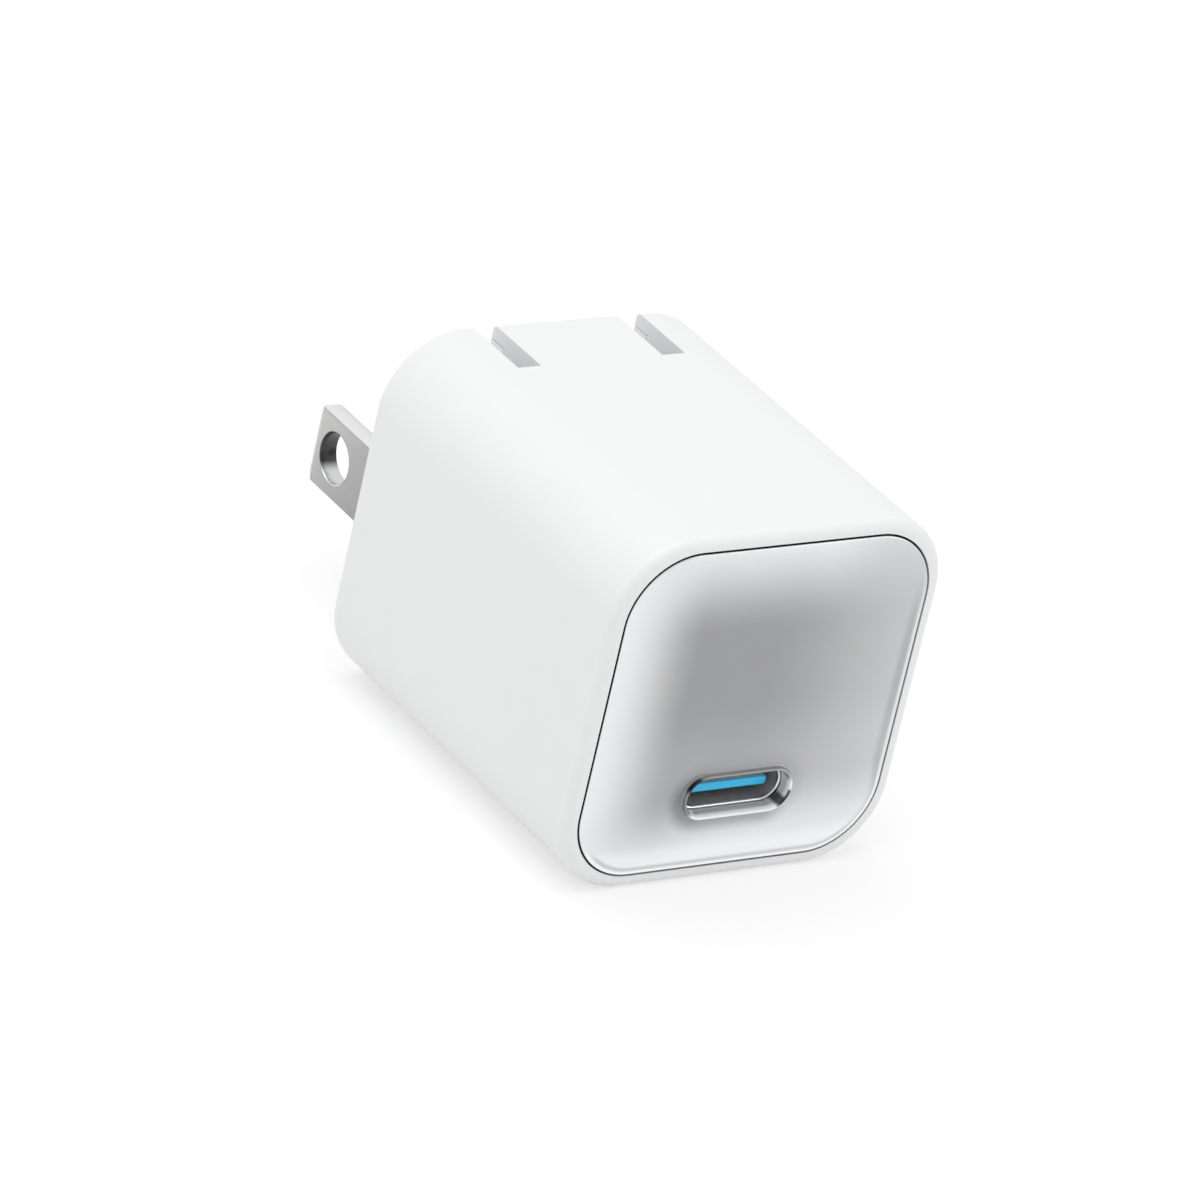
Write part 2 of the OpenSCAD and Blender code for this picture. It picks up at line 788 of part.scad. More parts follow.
// A lying can round the axis at x, from y0 to y1
module lying_can(x, r, y0, y1) {
    translate([x, y0, bulk_z]) rotate([-90, 0, 0]) cylinder(r = r, h = y1 - y0);
}

module bulk_capacitor(x) {
    color("darkslateblue") lying_can(x, bulk_r, bulk_y1 - bulk_l, bulk_y1 - bung_l);
}

module bulk_capacitor_left() { bulk_capacitor(bulk_x[0]); }

module bulk_capacitor_right() { bulk_capacitor(bulk_x[1]); }

module capacitor_bungs() {
    color("black") for (x = bulk_x) lying_can(x, bulk_r - bung_in, bulk_y1 - bung_l, bulk_y1);
}

// Four leads that come out of the bungs and turn down to the board
module capacitor_leads() {
    color("silver") for (p = bulk_pins) union() {
        translate([p[0], bulk_y1, bulk_z]) rotate([-90, 0, 0]) cylinder(r = lead_r, h = lead_y - bulk_y1);
        translate([p[0], lead_y, bulk_z]) sphere(lead_r);
        translate([p[0], lead_y, board_low - pin_below])
            cylinder(r = lead_r, h = bulk_z - board_low + pin_below);
    }
}

// An upright can on the main board
module upright_can(x, h) {
    translate([x, can_y, board_top]) cylinder(r = can_r, h = h);
}

module input_capacitor() { color("darkslateblue") upright_can(-can_x, input_can_h); }

module output_capacitor() { color("silver") upright_can(can_x, output_can_h); }

module film_capacitor() {
    color("gold") box([film_x0, film_y - film_t / 2, board_top],
        [film_x1, film_y + film_t / 2, board_top + film_h]);
}

module disc_capacitor() {
    color("royalblue") union() {
        translate([disc_x - disc_t / 2, disc_y, disc_z]) rotate([0, 90, 0])
            cylinder(r = disc_r, h = disc_t);
        box([disc_x - disc_t / 3, disc_y - disc_foot / 2, board_top],
            [disc_x + disc_t / 3, disc_y + disc_foot / 2, disc_z]);
    }
}

// ---- Choke, fuse and pins ----

// A flat ring round the choke's axis, which lies along Y
module choke_ring(r_out, r_in, t) {
    translate([choke_x, choke_y - t / 2, choke_z]) rotate([-90, 0, 0]) difference() {
        cylinder(r = r_out, h = t);
        translate([0, 0, -over]) cylinder(r = r_in, h = t + 2 * over);
    }
}

module choke_core() { color("seagreen") choke_ring(choke_r, choke_hole_r, choke_t); }

// Two windings, left and right, wrapped round the ring
module choke_windings() {
    reach = choke_r + wire_t + over;
    color("peru") difference() {
        choke_ring(choke_r + wire_t, choke_hole_r - wire_t, choke_t + 2 * wire_t);
        choke_ring(choke_r, choke_hole_r, choke_t);
        box([choke_x - wire_split / 2, choke_y - choke_t, choke_z - reach],
            [choke_x + wire_split / 2, choke_y + choke_t, choke_z + reach]);
    }
}

module choke_base() {
    low = choke_z - choke_r - wire_t;
    color("black") difference() {
        box([choke_x - choke_base_w / 2, choke_y - choke_base_d / 2, board_top],
            [choke_x + choke_base_w / 2, choke_y + choke_base_d / 2, low + choke_cradle]);
        choke_ring(choke_r + wire_t, wire_t, choke_t + 2 * wire_t);
    }
}

// Straight pins of the parts that stand on the main board
module component_pins() { color("silver") pins(side_pins, lead_r, 0); }

module fuse() {
    color("olivedrab") translate([fuse_x, fuse_y, board_top]) cylinder(r = fuse_r, h = fuse_h);
}

// ---- Chips, pad and spreader ----

// A block that stands on a face at x, centred on y and z
module side_block(x, t, w, h, y, z) {
    box([x, y - w / 2, z - h / 2], [x + t, y + w / 2, z + h / 2]);
}

// A block w by d by h under the main board, centred on x and y
module under_block(w, d, h, x, y) {
    box([x - w / 2, y - d / 2, board_low - h], [x + w / 2, y + d / 2, board_low]);
}

module power_chip() {
    color("black") side_block(control_x + control_t, chip_t, chip_w, chip_w, chip_y, chip_z);
}

module bridge_rectifier() {
    color("black") side_block(control_x - bridge_t, bridge_t, bridge_w, bridge_h, bridge_y, chip_z);
}

module thermal_pad() {
    color("lightblue")
        side_block(control_x + control_t + chip_t, pad_t, pad_w, pad_w, chip_y, chip_z);
}

module heat_spreader() {
    color("chocolate") box([inner_x - spreader_t, control_y0, spreader_z0],
        [inner_x, control_y1, spreader_z1]);
}

module rectifier_chip() {
    color("black") under_block(rectifier_w, rectifier_d, rectifier_h, rectifier_x, tr_y);
}

module pd_controller() { color("black") under_block(pd_w, pd_w, pd_h, pd_x, pd_y); }

module optocoupler() { color("white") under_block(opto_w, opto_d, opto_h, opto_x, tr_y); }

module chip_capacitors() {
    y = tr_y0 - small_d / 2;
    color("tan") for (i = [0 : small_cap_count - 1])
        under_block(small_w, small_d, small_cap_h, small_cap_x + i * small_cap_pitch, y);
}

module chip_resistors() {
    y = tr_y1 + small_d / 2;
    color("black") for (i = [0 : resistor_count - 1])
        under_block(small_w, small_d, resistor_h, resistor_x + i * resistor_pitch, y);
}

housing_shell();
front_panel();
panel_adhesive();
rear_cover();
blade_left();
blade_right();
prong_rotor();
contact_block();
contact_spring_left();
contact_spring_right();
detent_spring();
inner_frame();
usb_shell();
usb_tongue();
usb_mid_plate();
usb_contacts();
main_board();
control_board();
transformer_core_lower();
transformer_core_upper();
transformer_bobbin();
transformer_winding();
transformer_pins();
bulk_capacitor_left();
bulk_capacitor_right();
capacitor_bungs();
capacitor_leads();
input_capacitor();
output_capacitor();
film_capacitor();
disc_capacitor();
choke_core();
choke_windings();
choke_base();
component_pins();
fuse();
power_chip();
bridge_rectifier();
thermal_pad();
heat_spreader();
rectifier_chip();
pd_controller();
optocoupler();
chip_capacitors();
chip_resistors();
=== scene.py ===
"""Dress of a compact USB-C wall adapter with a folding two-blade mains plug.

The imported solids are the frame. Every length is in millimetres until a mesh is made of it.
"""

import json
import logging
import math
from collections.abc import Callable, Sequence
from dataclasses import dataclass
from enum import Enum

import bmesh
import bpy
from mathutils import Matrix, Vector
from mathutils.geometry import delaunay_2d_cdt


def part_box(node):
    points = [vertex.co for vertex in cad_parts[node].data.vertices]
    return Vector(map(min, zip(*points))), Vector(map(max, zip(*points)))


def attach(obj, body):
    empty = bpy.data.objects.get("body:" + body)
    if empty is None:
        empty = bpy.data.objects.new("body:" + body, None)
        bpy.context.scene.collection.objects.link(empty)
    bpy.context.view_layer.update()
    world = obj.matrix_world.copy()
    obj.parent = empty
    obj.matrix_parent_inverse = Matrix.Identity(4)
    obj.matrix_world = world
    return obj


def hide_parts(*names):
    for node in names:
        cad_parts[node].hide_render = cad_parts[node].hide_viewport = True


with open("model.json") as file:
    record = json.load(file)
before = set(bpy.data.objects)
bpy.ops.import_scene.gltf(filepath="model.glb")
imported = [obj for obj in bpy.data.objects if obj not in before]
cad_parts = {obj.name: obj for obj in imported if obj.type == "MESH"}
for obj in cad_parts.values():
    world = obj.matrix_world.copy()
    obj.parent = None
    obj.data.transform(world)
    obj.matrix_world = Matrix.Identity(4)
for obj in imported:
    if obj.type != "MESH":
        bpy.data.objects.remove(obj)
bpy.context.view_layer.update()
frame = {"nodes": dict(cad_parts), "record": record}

LOG = logging.getLogger("adapter")
MM = 0.001
FIXED = "adapter_body"
FOLDING = "prongs"
WELD_M = 1e-6
BARE = "bare_metal"
BAND = "band"
FLAT_ANGLE = math.radians(0.5)

Point = tuple[float, float]
Place = tuple[float, float, float]
Colour = tuple[float, float, float]
Socket = bpy.types.NodeSocket


# ---- Node trees ----


class Wire:
    """An output of a node tree that can be used in sums."""

    def __init__(self, graph: "Graph", socket: Socket) -> None:
        """Keeps the socket and the tree that it belongs to."""
        self.graph = graph
        self.socket = socket

    def math(self, operation: str, other: "Wire | float | None" = None, swap: bool = False) -> "Wire":
        """Adds a Math node.

        Args:
            operation: the node's operation.
            other: its second value, if it takes one.
            swap: True when this wire is the second value.

        Returns:
            The node's result.
        """
        values = [self] if other is None else [self, other]
        if swap:
            values.reverse()
        return self.graph.out("ShaderNodeMath", {"operation": operation}, dict(enumerate(values)))

    def __add__(self, other: "Wire | float") -> "Wire":
        """Sum."""
        return self.math("ADD", other)

    def __radd__(self, other: "Wire | float") -> "Wire":
        """Sum with a number in front."""
        return self.math("ADD", other, swap=True)

    def __sub__(self, other: "Wire | float") -> "Wire":
        """Difference."""
        return self.math("SUBTRACT", other)

    def __rsub__(self, other: "Wire | float") -> "Wire":
        """Difference from a number."""
        return self.math("SUBTRACT", other, swap=True)

    def __mul__(self, other: "Wire | float") -> "Wire":
        """Product."""
        return self.math("MULTIPLY", other)

    def __rmul__(self, other: "Wire | float") -> "Wire":
        """Product with a number in front."""
        return self.math("MULTIPLY", other, swap=True)

    def smooth(self, low: float, high: float) -> "Wire":
        """Smooth step.

        Args:
            low: the value at which the step starts.
            high: the value at which it ends.

        Returns:
            0 up to low, 1 from high on, and an S curve between them.
        """
        settings = {"interpolation_type": "SMOOTHSTEP"}
        inputs = {"Value": self, "From Min": low, "From Max": high, "To Min": 0.0, "To Max": 1.0}
        return self.graph.out("ShaderNodeMapRange", settings, inputs)


class Graph:
    """A node tree that is being filled."""

    def __init__(self, tree: bpy.types.NodeTree) -> None:
        """Starts from an empty tree."""
        self.tree = tree
        tree.nodes.clear()

    def add(self, kind: str, settings: dict | None = None, inputs: dict | None = None) -> bpy.types.Node:
        """Adds a node.

        Args:
            kind: the node's type.
            settings: its properties.
            inputs: values or wires by the socket's name or number.

        Returns:
            The new node.
        """
        node = self.tree.nodes.new(kind)
        for key, value in (settings or {}).items():
            setattr(node, key, value)
        for key, value in (inputs or {}).items():
            if isinstance(value, Wire):
                self.tree.links.new(value.socket, node.inputs[key])
            else:
                node.inputs[key].default_value = value
        return node

    def out(
        self, kind: str, settings: dict | None = None, inputs: dict | None = None, output: int | str = 0
    ) -> Wire:
        """Adds a node and gives one of its outputs.

        Args:
            kind: the node's type.
            settings: its properties.
            inputs: values or wires by the socket's name or number.
            output: the output's name or number.

        Returns:
            That output.
        """
        return Wire(self, self.add(kind, settings, inputs).outputs[output])

    def vector(self, operation: str, *values: "Wire | Sequence[float] | float") -> Wire:
        """Adds a Vector Math node.

        Args:
            operation: the node's operation.
            values: its inputs in order.

        Returns:
            Its vector.
        """
        return self.out("ShaderNodeVectorMath", {"operation": operation}, dict(enumerate(values)))


class Shader(Graph):
    """A material's tree, with the steps that its finishes share."""

    def __init__(self, name: str) -> None:
        """Makes the material and puts its object coordinates, in millimetres, at hand.

        Args:
            name: the material's name.
        """
        self.material = bpy.data.materials.new(name)
        self.material.use_nodes = True
        super().__init__(self.material.node_tree)
        coordinates = self.out("ShaderNodeTexCoord", output="Object")
        self.place = self.vector("MULTIPLY", coordinates, (1 / MM,) * 3)

    def axis(self, number: int) -> Wire:
        """One of the three coordinates, in millimetres."""
        return self.out("ShaderNodeSeparateXYZ", inputs={0: self.place}, output=number)

    def noise(self, scale: float, detail: float = 2.0, stretch: Sequence[float] = (1, 1, 1)) -> Wire:
        """Adds a noise.

        Args:
            scale: how many grains a millimetre holds.
            detail: how many finer layers it has.
            stretch: the grains' density along each axis.

        Returns:
            The noise, about 0.5 on average.
        """
        place = self.vector("MULTIPLY", self.place, tuple(stretch))
        return self.out("ShaderNodeTexNoise", inputs={"Vector": place, "Scale": scale, "Detail": detail})

    def cells(self, scale: float) -> Wire:
        """Small round cells, scale of them to a millimetre: how far a place lies from its cell's middle."""
        inputs = {"Vector": self.place, "Scale": scale, "Randomness": 1.0}
        return self.out("ShaderNodeTexVoronoi", {"feature": "F1"}, inputs)

    def mark(self, name: str) -> Wire:
        """1 where a piece has the mark of this name, and 0 elsewhere."""
        return self.out("ShaderNodeAttribute", {"attribute_name": name}, output="Fac")

    def length(self, across: Wire, along: Wire) -> Wire:
        """The length of a step with these two legs."""
        return (across * across + along * along).math("SQRT")

    def inset(self, centre: Point, half: Point, radius: float) -> Wire:
        """The distance inwards from a rounded rectangle that lies across Y.

        Args:
            centre: its centre in X and Z.
            half: its half width and half height.
            radius: its corners' radius.

        Returns:
            The distance, below 0 outside.
        """
        legs = [
            (self.axis(number) - middle).math("ABSOLUTE") - (reach - radius)
            for number, middle, reach in zip((0, 2), centre, half)
        ]
        outside = self.length(*(leg.math("MAXIMUM", 0.0) for leg in legs))
        inside = legs[0].math("MAXIMUM", legs[1]).math("MINIMUM", 0.0)
        return radius - outside - inside

    def mix(self, low: "Wire | Colour", high: "Wire | Colour", share: "Wire | float") -> Wire:
        """Mixes two colours.

        Args:
            low: the colour where share is 0.
            high: the colour where share is 1.
            share: the second colour's share.

        Returns:
            The mixed colour.
        """
        first, second = (c if isinstance(c, Wire) else (*c, 1.0) for c in (low, high))
        return self.out("ShaderNodeMix", {"data_type": "RGBA"}, {0: share, 6: first, 7: second}, output=2)

    def bump(self, height: Wire, depth: float) -> Wire:
        """Adds relief.

        Args:
            height: the relief's height, from 0 to 1.
            depth: how many millimetres a height of 1 stands for.

        Returns:
            The bent normal.
        """
        inputs = {"Height": height, "Distance": depth * MM, "Strength": 1.0}
        return self.out("ShaderNodeBump", inputs=inputs)

    def finish(self, **sockets: "Wire | float | Sequence[float]") -> bpy.types.Material:
        """Ends the tree in a Principled surface.

        Args:
            sockets: values by the socket's name, with _ for a space.

        Returns:
            The material.
        """
        inputs = {name.replace("_", " "): value for name, value in sockets.items()}
        surface = self.out("ShaderNodeBsdfPrincipled", inputs=inputs)
        self.add("ShaderNodeOutputMaterial", inputs={"Surface": surface})
        return self.material


# ---- Finishes ----


@dataclass(frozen=True)
class Fade:
    """A smooth step from 0 at one value to its full strength at another."""

    start: float
    end: float
    strength: float = 1.0

    def of(self, value: Wire) -> Wire:
        """The fade over a value.

        Args:
            value: what it runs along.

        Returns:
            From 0 to the strength.
        """
        step = value.smooth(self.start, self.end)
        return step if self.strength == 1.0 else step * self.strength


class Pattern(Enum):
    """The small relief that a finish shows."""

    GRAIN = "grain"
    SPECKLE = "speckle"
    BRUSHED = "brushed"
    WEAVE = "weave"
    FLOW = "flow"


@dataclass(frozen=True)
class Finish:
    """A finish of one material: two close colours and a relief."""

    name: str
    colour: Colour
    second: Colour
    roughness: float
    pattern: Pattern = Pattern.GRAIN
    scale: float = 8.0
    depth: float = 0.002
    metallic: float = 0.0
    spread: float = 0.08
    coat: float = 0.0
    stretch: tuple[float, float, float] = (1.0, 1.0, 1.0)
    bare: Colour = (0.70, 0.70, 0.69)

    def relief(self, shader: Shader) -> Wire:
        """The pattern's height.

        Args:
            shader: the material's tree.

        Returns:
            The height, from 0 to 1.
        """
        if self.pattern is Pattern.SPECKLE:
            return shader.cells(self.scale)
        if self.pattern is Pattern.WEAVE:
            waves = [
                shader.out("ShaderNodeMath", {"operation": "SINE"}, {0: shader.axis(axis) * self.scale})
                for axis in (1, 2)
            ]
            return waves[0] * waves[1] * 0.5 + 0.5
        detail = 5.0 if self.pattern is Pattern.FLOW else 2.0
        return shader.noise(self.scale, detail, self.stretch)

    def build(self) -> bpy.types.Material:
        """Makes the material.

        Returns:
            The material, with its whole tree.
        """
        shader = Shader(self.name)
        height = self.relief(shader)
        cloud = shader.noise(0.35, 3.0)
        share = height * 0.6 + cloud * 0.8 - 0.2
        colour = shader.mix(self.colour, self.second, share)
        metallic: Wire | float = self.metallic
        if not self.metallic:
            metallic = shader.mark(BARE)
            colour = shader.mix(colour, self.bare, metallic)
        return shader.finish(
            Base_Color=colour,
            Roughness=cloud * self.spread + height * self.spread + (self.roughness - self.spread),
            Metallic=metallic,
            Coat_Weight=self.coat,
            Coat_Roughness=0.12,
            Normal=shader.bump(height, self.depth),
        )


@dataclass(frozen=True)
class SatinCoat:
    """The panel's satin silver coat.

    It is polished at the collar. Its colour carries painted reflection and shade: deep in the upper middle,
    pale at the borders, with a painted shadow ring round the socket, painted highlights and shade on the
    collar and a painted black seam shadow at its edge.
    """

    name: str = "panel_coat"
    # middle and border: the deepest and palest tones of the painted reflection.
    middle: float = 0.338
    border: float = 0.865
    panel_half: Point = (13.1, 13.1)
    panel_centre: Point = (0.0, 14.25)
    panel_corner: float = 5.4
    face: float = -16.75
    mouth_centre: float = 7.3
    mouth_straight: float = 2.89
    mouth_radius: float = 1.28
    collar_inner: float = 0.24
    collar_outer: float = 0.57
    flake_scale: float = 20.0
    black: Colour = (0.0, 0.0, 0.004)
    white: Colour = (0.985, 0.99, 1.0)
    # left to waist shape the painted reflection: deep in the upper middle, pale towards the borders.
    left: Fade = Fade(-6.0, -13.4)
    right: Fade = Fade(-1.0, 14.0, 0.42)
    top: Fade = Fade(20.5, 28.6)
    top_share: float = 0.90
    top_loss: Fade = Fade(3.0, 12.0, 0.60)
    low: Fade = Fade(8.8, 2.4)
    low_tilt: float = 0.15
    waist: Fade = Fade(15.5, 9.5, 0.13)
    # foot: painted light along the bottom of the panel.
    foot: Fade = Fade(4.0, 2.5)
    foot_light_gain: float = 0.09
    # Painted highlight line and painted shade band along the right and bottom edges.
    painted_edge_sides: Fade = Fade(1.5, 8.0)
    line: Fade = Fade(0.50, 0.30, 0.20)
    narrowing: Fade = Fade(9.0, 4.0, 0.8)
    shade_band_in: Fade = Fade(0.35, 0.65)
    shade_band_out: Fade = Fade(1.55, 0.85)
    shade_band_depth: Point = (0.20, 0.12)
    # Painted reflection and shade on the polished collar: its deep upper left end, its front, its inner wall
    # and its top.
    corner_turn: Fade = Fade(-0.22, -0.48)
    corner_side: Fade = Fade(0.1, -0.3)
    corner_shade_depth: float = 0.30
    front_tone: Point = (0.10, 0.36)
    wall_tone: Point = (0.16, 0.62)
    crown: Fade = Fade(0.3, 0.9)
    crown_shade_depth: float = 0.04
    # Painted highlight where the collar faces down or right; metallic is lowered there too.
    painted_highlight: Fade = Fade(0.05, 0.55)
    painted_highlight_across: float = 0.8
    # Painted dark wedge at the collar's lower right.
    wedge_shade_turn: Fade = Fade(0.93, 0.99)
    wedge_shade_reach: Fade = Fade(0.48, 0.40)
    wedge_shade_depth: float = 0.90
    # Painted dark arc on the fillet at the collar's lower right.
    shade_arc_turn: Fade = Fade(0.89, 0.94)
    shade_arc_inner: Fade = Fade(0.25, 0.33)
    shade_arc_outer: Fade = Fade(0.78, 0.68)
    shade_arc_depth: float = 0.97
    # Weight of the painted shadow ring round the socket: deepest below and to the left.
    below: Fade = Fade(-0.3, 0.9, 0.75)
    shadow_ring_least: float = 0.20
    # Painted shade over the collar's upper fillet.
    fillet_shade: Fade = Fade(0.85, 0.62)
    fillet_shade_depth: float = 0.12
    # Painted shadow ring round the socket.
    ring: Fade = Fade(2.1, 0.75)
    shadow_ring_depth: float = 0.48
    # Painted seam shadow: the panel's outer edge darkened to black.
    seam_shade_edge: Fade = Fade(0.03, 0.10)

    def painted_reflection(self, shader: Shader, inset: Wire) -> Wire:
        """The painted reflection and shade over the panel.

        Args:
            shader: the material's tree.
            inset: the distance in from the panel's outline.

        Returns:
            The painted brightness.
        """
        x, z = shader.axis(0), shader.axis(2)
        top = self.top.of(z) * (self.top_share - self.top_loss.of(x))
        low = self.low.of(z - x.math("MINIMUM", 0.0) * self.low_tilt)
        dark = (1 - self.left.of(x)) * (1 - top) * (1 - low) * (1 - self.right.of(x))
        dark = dark * (1 - self.waist.of(z))
        foot = self.foot.of(z)
        # Painted reflection: deep in the upper middle, pale at the borders, with painted light along the
        # bottom.
        tone = (1 - dark) * (self.border - self.middle) + self.middle + foot * self.foot_light_gain
        # Painted highlight line and painted shade band along the right and bottom edges.
        painted_edge_sides = self.painted_edge_sides.of(x - z + self.panel_centre[1]).math("MAXIMUM", foot)
        depth = inset * (self.narrowing.of(z) + 1)
        foot_share, share = self.shade_band_depth
        band = self.shade_band_in.of(depth) * self.shade_band_out.of(depth) * (foot * foot_share + share)
        return tone + painted_edge_sides * (self.line.of(inset) - band)

    def collar(self, shader: Shader, grow: Wire, across: Wire, up: Wire) -> Wire:
        """The painted reflection and shade on the polished collar.

        Args:
            shader: the material's tree.
            grow: the distance out from the socket's opening.
            across: how far the collar's outward direction points along X.
            up: how far it points along Z.

        Returns:
            The painted brightness: a painted highlight where the collar faces down or right, painted shade
                at its upper left end and a painted dark wedge at its lower right.
        """
        # Painted shade at the upper left end and along the top, painted highlight where the collar faces
        # down or right.
        corner = self.corner_turn.of(across * up) * self.corner_side.of(across)
        slope, level = self.front_tone
        shade = across * slope + level - corner * self.corner_shade_depth - self.crown.of(up) * self.crown_shade_depth
        painted_highlight = self.painted_highlight.of(across * self.painted_highlight_across - up)
        front = shade * (1 - painted_highlight) + painted_highlight
        inside = shader.axis(1).smooth(self.face + 0.02, self.face + 0.14)
        inside = inside * grow.smooth(self.collar_inner + 0.05, self.collar_inner + 0.01)
        # Painted dark wedge at the collar's lower right.
        painted_wedge = self.wedge_shade_turn.of(across * 0.71 - up * 0.70) * self.wedge_shade_reach.of(grow)
        slope, level = self.wall_tone
        wall = across * slope + level
        return (front * (1 - inside) + wall * inside) * (1 - painted_wedge * self.wedge_shade_depth)

    def build(self) -> bpy.types.Material:
        """Makes the material.

        Returns:
            The material, with its whole tree.
        """
        shader = Shader(self.name)
        x, z = shader.axis(0), shader.axis(2)
        inset = shader.inset(self.panel_centre, self.panel_half, self.panel_corner)
        straight = x.math("MAXIMUM", -self.mouth_straight).math("MINIMUM", self.mouth_straight)
        legs = (x - straight, z - self.mouth_centre)
        reach = shader.length(*legs)
        grow = reach - self.mouth_radius
        across, up = (leg.math("DIVIDE", reach) for leg in legs)
        # Painted shadow ring round the socket, deepest below and to the left.
        below = self.below.of(across * -0.75 - up * 0.65) + self.shadow_ring_least
        # Painted shade over the collar's upper fillet.
        fillet_shade = self.crown.of(up) * self.fillet_shade.of(grow) * self.fillet_shade_depth
        ring = self.ring.of(grow) * below * self.shadow_ring_depth + fillet_shade
        polish = grow.smooth(self.collar_outer + 0.04, self.collar_outer - 0.04)
        flake = shader.cells(self.flake_scale)
        haze = shader.noise(0.25, 2.0)
        tone = self.painted_reflection(shader, inset) * (1 - ring) + (haze - 0.5) * 0.02 + (flake - 0.5) * 0.015
        # Painted reflection and shade on the polished collar.
        collar_reflection_paint = self.collar(shader, grow, across, up)
        # Painted dark arc on the fillet at the collar's lower right.
        arc = self.shade_arc_turn.of(across * 0.87 - up * 0.49) * self.shade_arc_inner.of(grow) * self.shade_arc_outer.of(grow)
        # The panel's outer edge is darkened to black as painted seam shadow.
        shade = (tone * (1 - polish) + collar_reflection_paint * polish) * self.seam_shade_edge.of(inset)
        shade = shade * (1 - arc * self.shade_arc_depth)
        return shader.finish(
            Base_Color=shader.mix(self.black, self.white, shade),
            Metallic=0.88 - polish * (self.painted_highlight.of(across * self.painted_highlight_across - up) * 0.36 + 0.50),
            Roughness=(flake * 0.05 + haze * 0.05 + 0.27) * (1 - polish) + polish * 0.16,
            Coat_Weight=0.2,
            Coat_Roughness=0.18,
            Normal=shader.bump(flake * (1 - polish), 0.0004),
        )


@dataclass(frozen=True)
class NoseBlue:
    """The socket's moulding: blue at its nose and pale grey behind it."""

    name: str = "tongue_blue"
    nose: Colour = (0.030, 0.56, 0.95)
    second: Colour = (0.04, 0.60, 0.98)
    behind: Colour = (0.62, 0.62, 0.63)
    tip: float = -15.63

    def build(self) -> bpy.types.Material:
        """Makes the material.

        Returns:
            The material, with its whole tree.
        """
        shader = Shader(self.name)
        back = shader.axis(1).smooth(self.tip + 0.12, self.tip + 0.18)
        grain = shader.noise(8.0, 2.0)
        nose = shader.mix(self.nose, self.second, grain)
        return shader.finish(
            Base_Color=shader.mix(nose, self.behind, back),
            Roughness=grain * 0.1 + 0.30,
            Normal=shader.bump(grain, 0.0015),
        )


@dataclass(frozen=True)
class SocketSteel:
    """The socket's shell: polished at its lip, drawn and dull inside."""

    name: str = "socket_steel"
    lip: float = -15.98
    bright: Colour = (0.80, 0.80, 0.81)
    dull: Colour = (0.50, 0.53, 0.56)

    def build(self) -> bpy.types.Material:
        """Makes the material.

        Returns:
            The material, with its whole tree.
        """
        shader = Shader(self.name)
        inside = shader.axis(1).smooth(self.lip + 0.06, self.lip + 0.5)
        drawn = shader.noise(2.0, 2.0, (4.0, 0.5, 4.0))
        return shader.finish(
            Base_Color=shader.mix(self.bright, self.dull, inside * 0.8 + drawn * 0.2),
            Metallic=1.0 - inside * 0.35,
            Roughness=inside * 0.32 + drawn * 0.06 + 0.12,
            Normal=shader.bump(drawn, 0.0004),
        )


@dataclass(frozen=True)
class BladeNickel:
    """Nickel on a blade: satin faces with painted shade darker towards the body, a painted highlight on the
    upper edge and painted glints and shade in the bore of its hole.
    """

    name: str = "blade_nickel"
    # near and far: painted shade on the faces, darker towards the body and downwards.
    near: Colour = (0.35, 0.352, 0.352)
    far: Colour = (0.57, 0.57, 0.565)
    # Painted highlight on the upper edge.
    edge: Colour = (0.98, 0.985, 0.99)
    # dark and wall: painted shade in the bore, black at its top.
    dark: Colour = (0.012, 0.012, 0.012)
    wall: Colour = (0.09, 0.09, 0.09)
    top: float = 13.45
    tip: float = 33.2
    bore: Point = (29.9, 10.3)
    bore_radius: float = 2.0
    # Painted shade at the bore's top and painted highlight at its bottom.
    bore_top_shade: Fade = Fade(1.30, 1.60)
    bore_low_highlight: Fade = Fade(-1.05, -1.75)
    drawn: Place = (6.0, 0.35, 6.0)
    # Painted shade across the faces, darker towards the body and downwards.
    shade_fall: Fade = Fade(-1.0, 9.5)
    shade_fall_slopes: Point = (0.75, 0.55)
    # Painted glints in the bore.
    bore_glint: Fade = Fade(0.56, 0.66)
    bore_glint_place: Fade = Fade(1.0, 0.2)
    bore_glint_stretch: Place = (1.4, 0.6, 0.6)

    def build(self) -> bpy.types.Material:
        """Makes the material.

        Returns:
            The material, with its whole tree.
        """
        shader = Shader(self.name)
        y, z = shader.axis(1), shader.axis(2)
        drawn = shader.noise(2.5, 2.0, self.drawn)
        cloud = shader.noise(0.35, 3.0)
        # Painted highlight on the upper edge, which is also less metallic and smoother.
        edge = z.smooth(self.top - 0.10, self.top - 0.04)
        # Painted shade: darker towards the body and downwards.
        shade_fall = self.shade_fall.of((self.tip - y) * self.shade_fall_slopes[0] + (self.top - z) * self.shade_fall_slopes[1])
        face = shader.mix(self.far, self.near, shade_fall + drawn * 0.10 + cloud * 0.10 - 0.10)
        legs = (y - self.bore[0], z - self.bore[1])
        bore = shader.length(*legs).smooth(self.bore_radius + 0.10, self.bore_radius + 0.03)
        # Painted glints, a painted highlight at the bottom and painted shade at the top of the bore.
        bore_glint = self.bore_glint.of(shader.noise(0.9, 3.0, self.bore_glint_stretch)) * self.bore_glint_place.of(legs[0])
        wall = shader.mix(self.wall, self.edge, bore_glint.math("MAXIMUM", self.bore_low_highlight.of(legs[1])))
        wall = shader.mix(wall, self.dark, self.bore_top_shade.of(legs[1]))
        return shader.finish(
            Base_Color=shader.mix(shader.mix(face, self.edge, edge), wall, bore),
            Metallic=1.0 - edge * 0.35 - bore * 0.30,
            Roughness=(drawn * 0.08 + cloud * 0.08) * (1 - edge) + edge * 0.08 + 0.22,
            Normal=shader.bump(drawn * (1 - edge), 0.0005),
        )


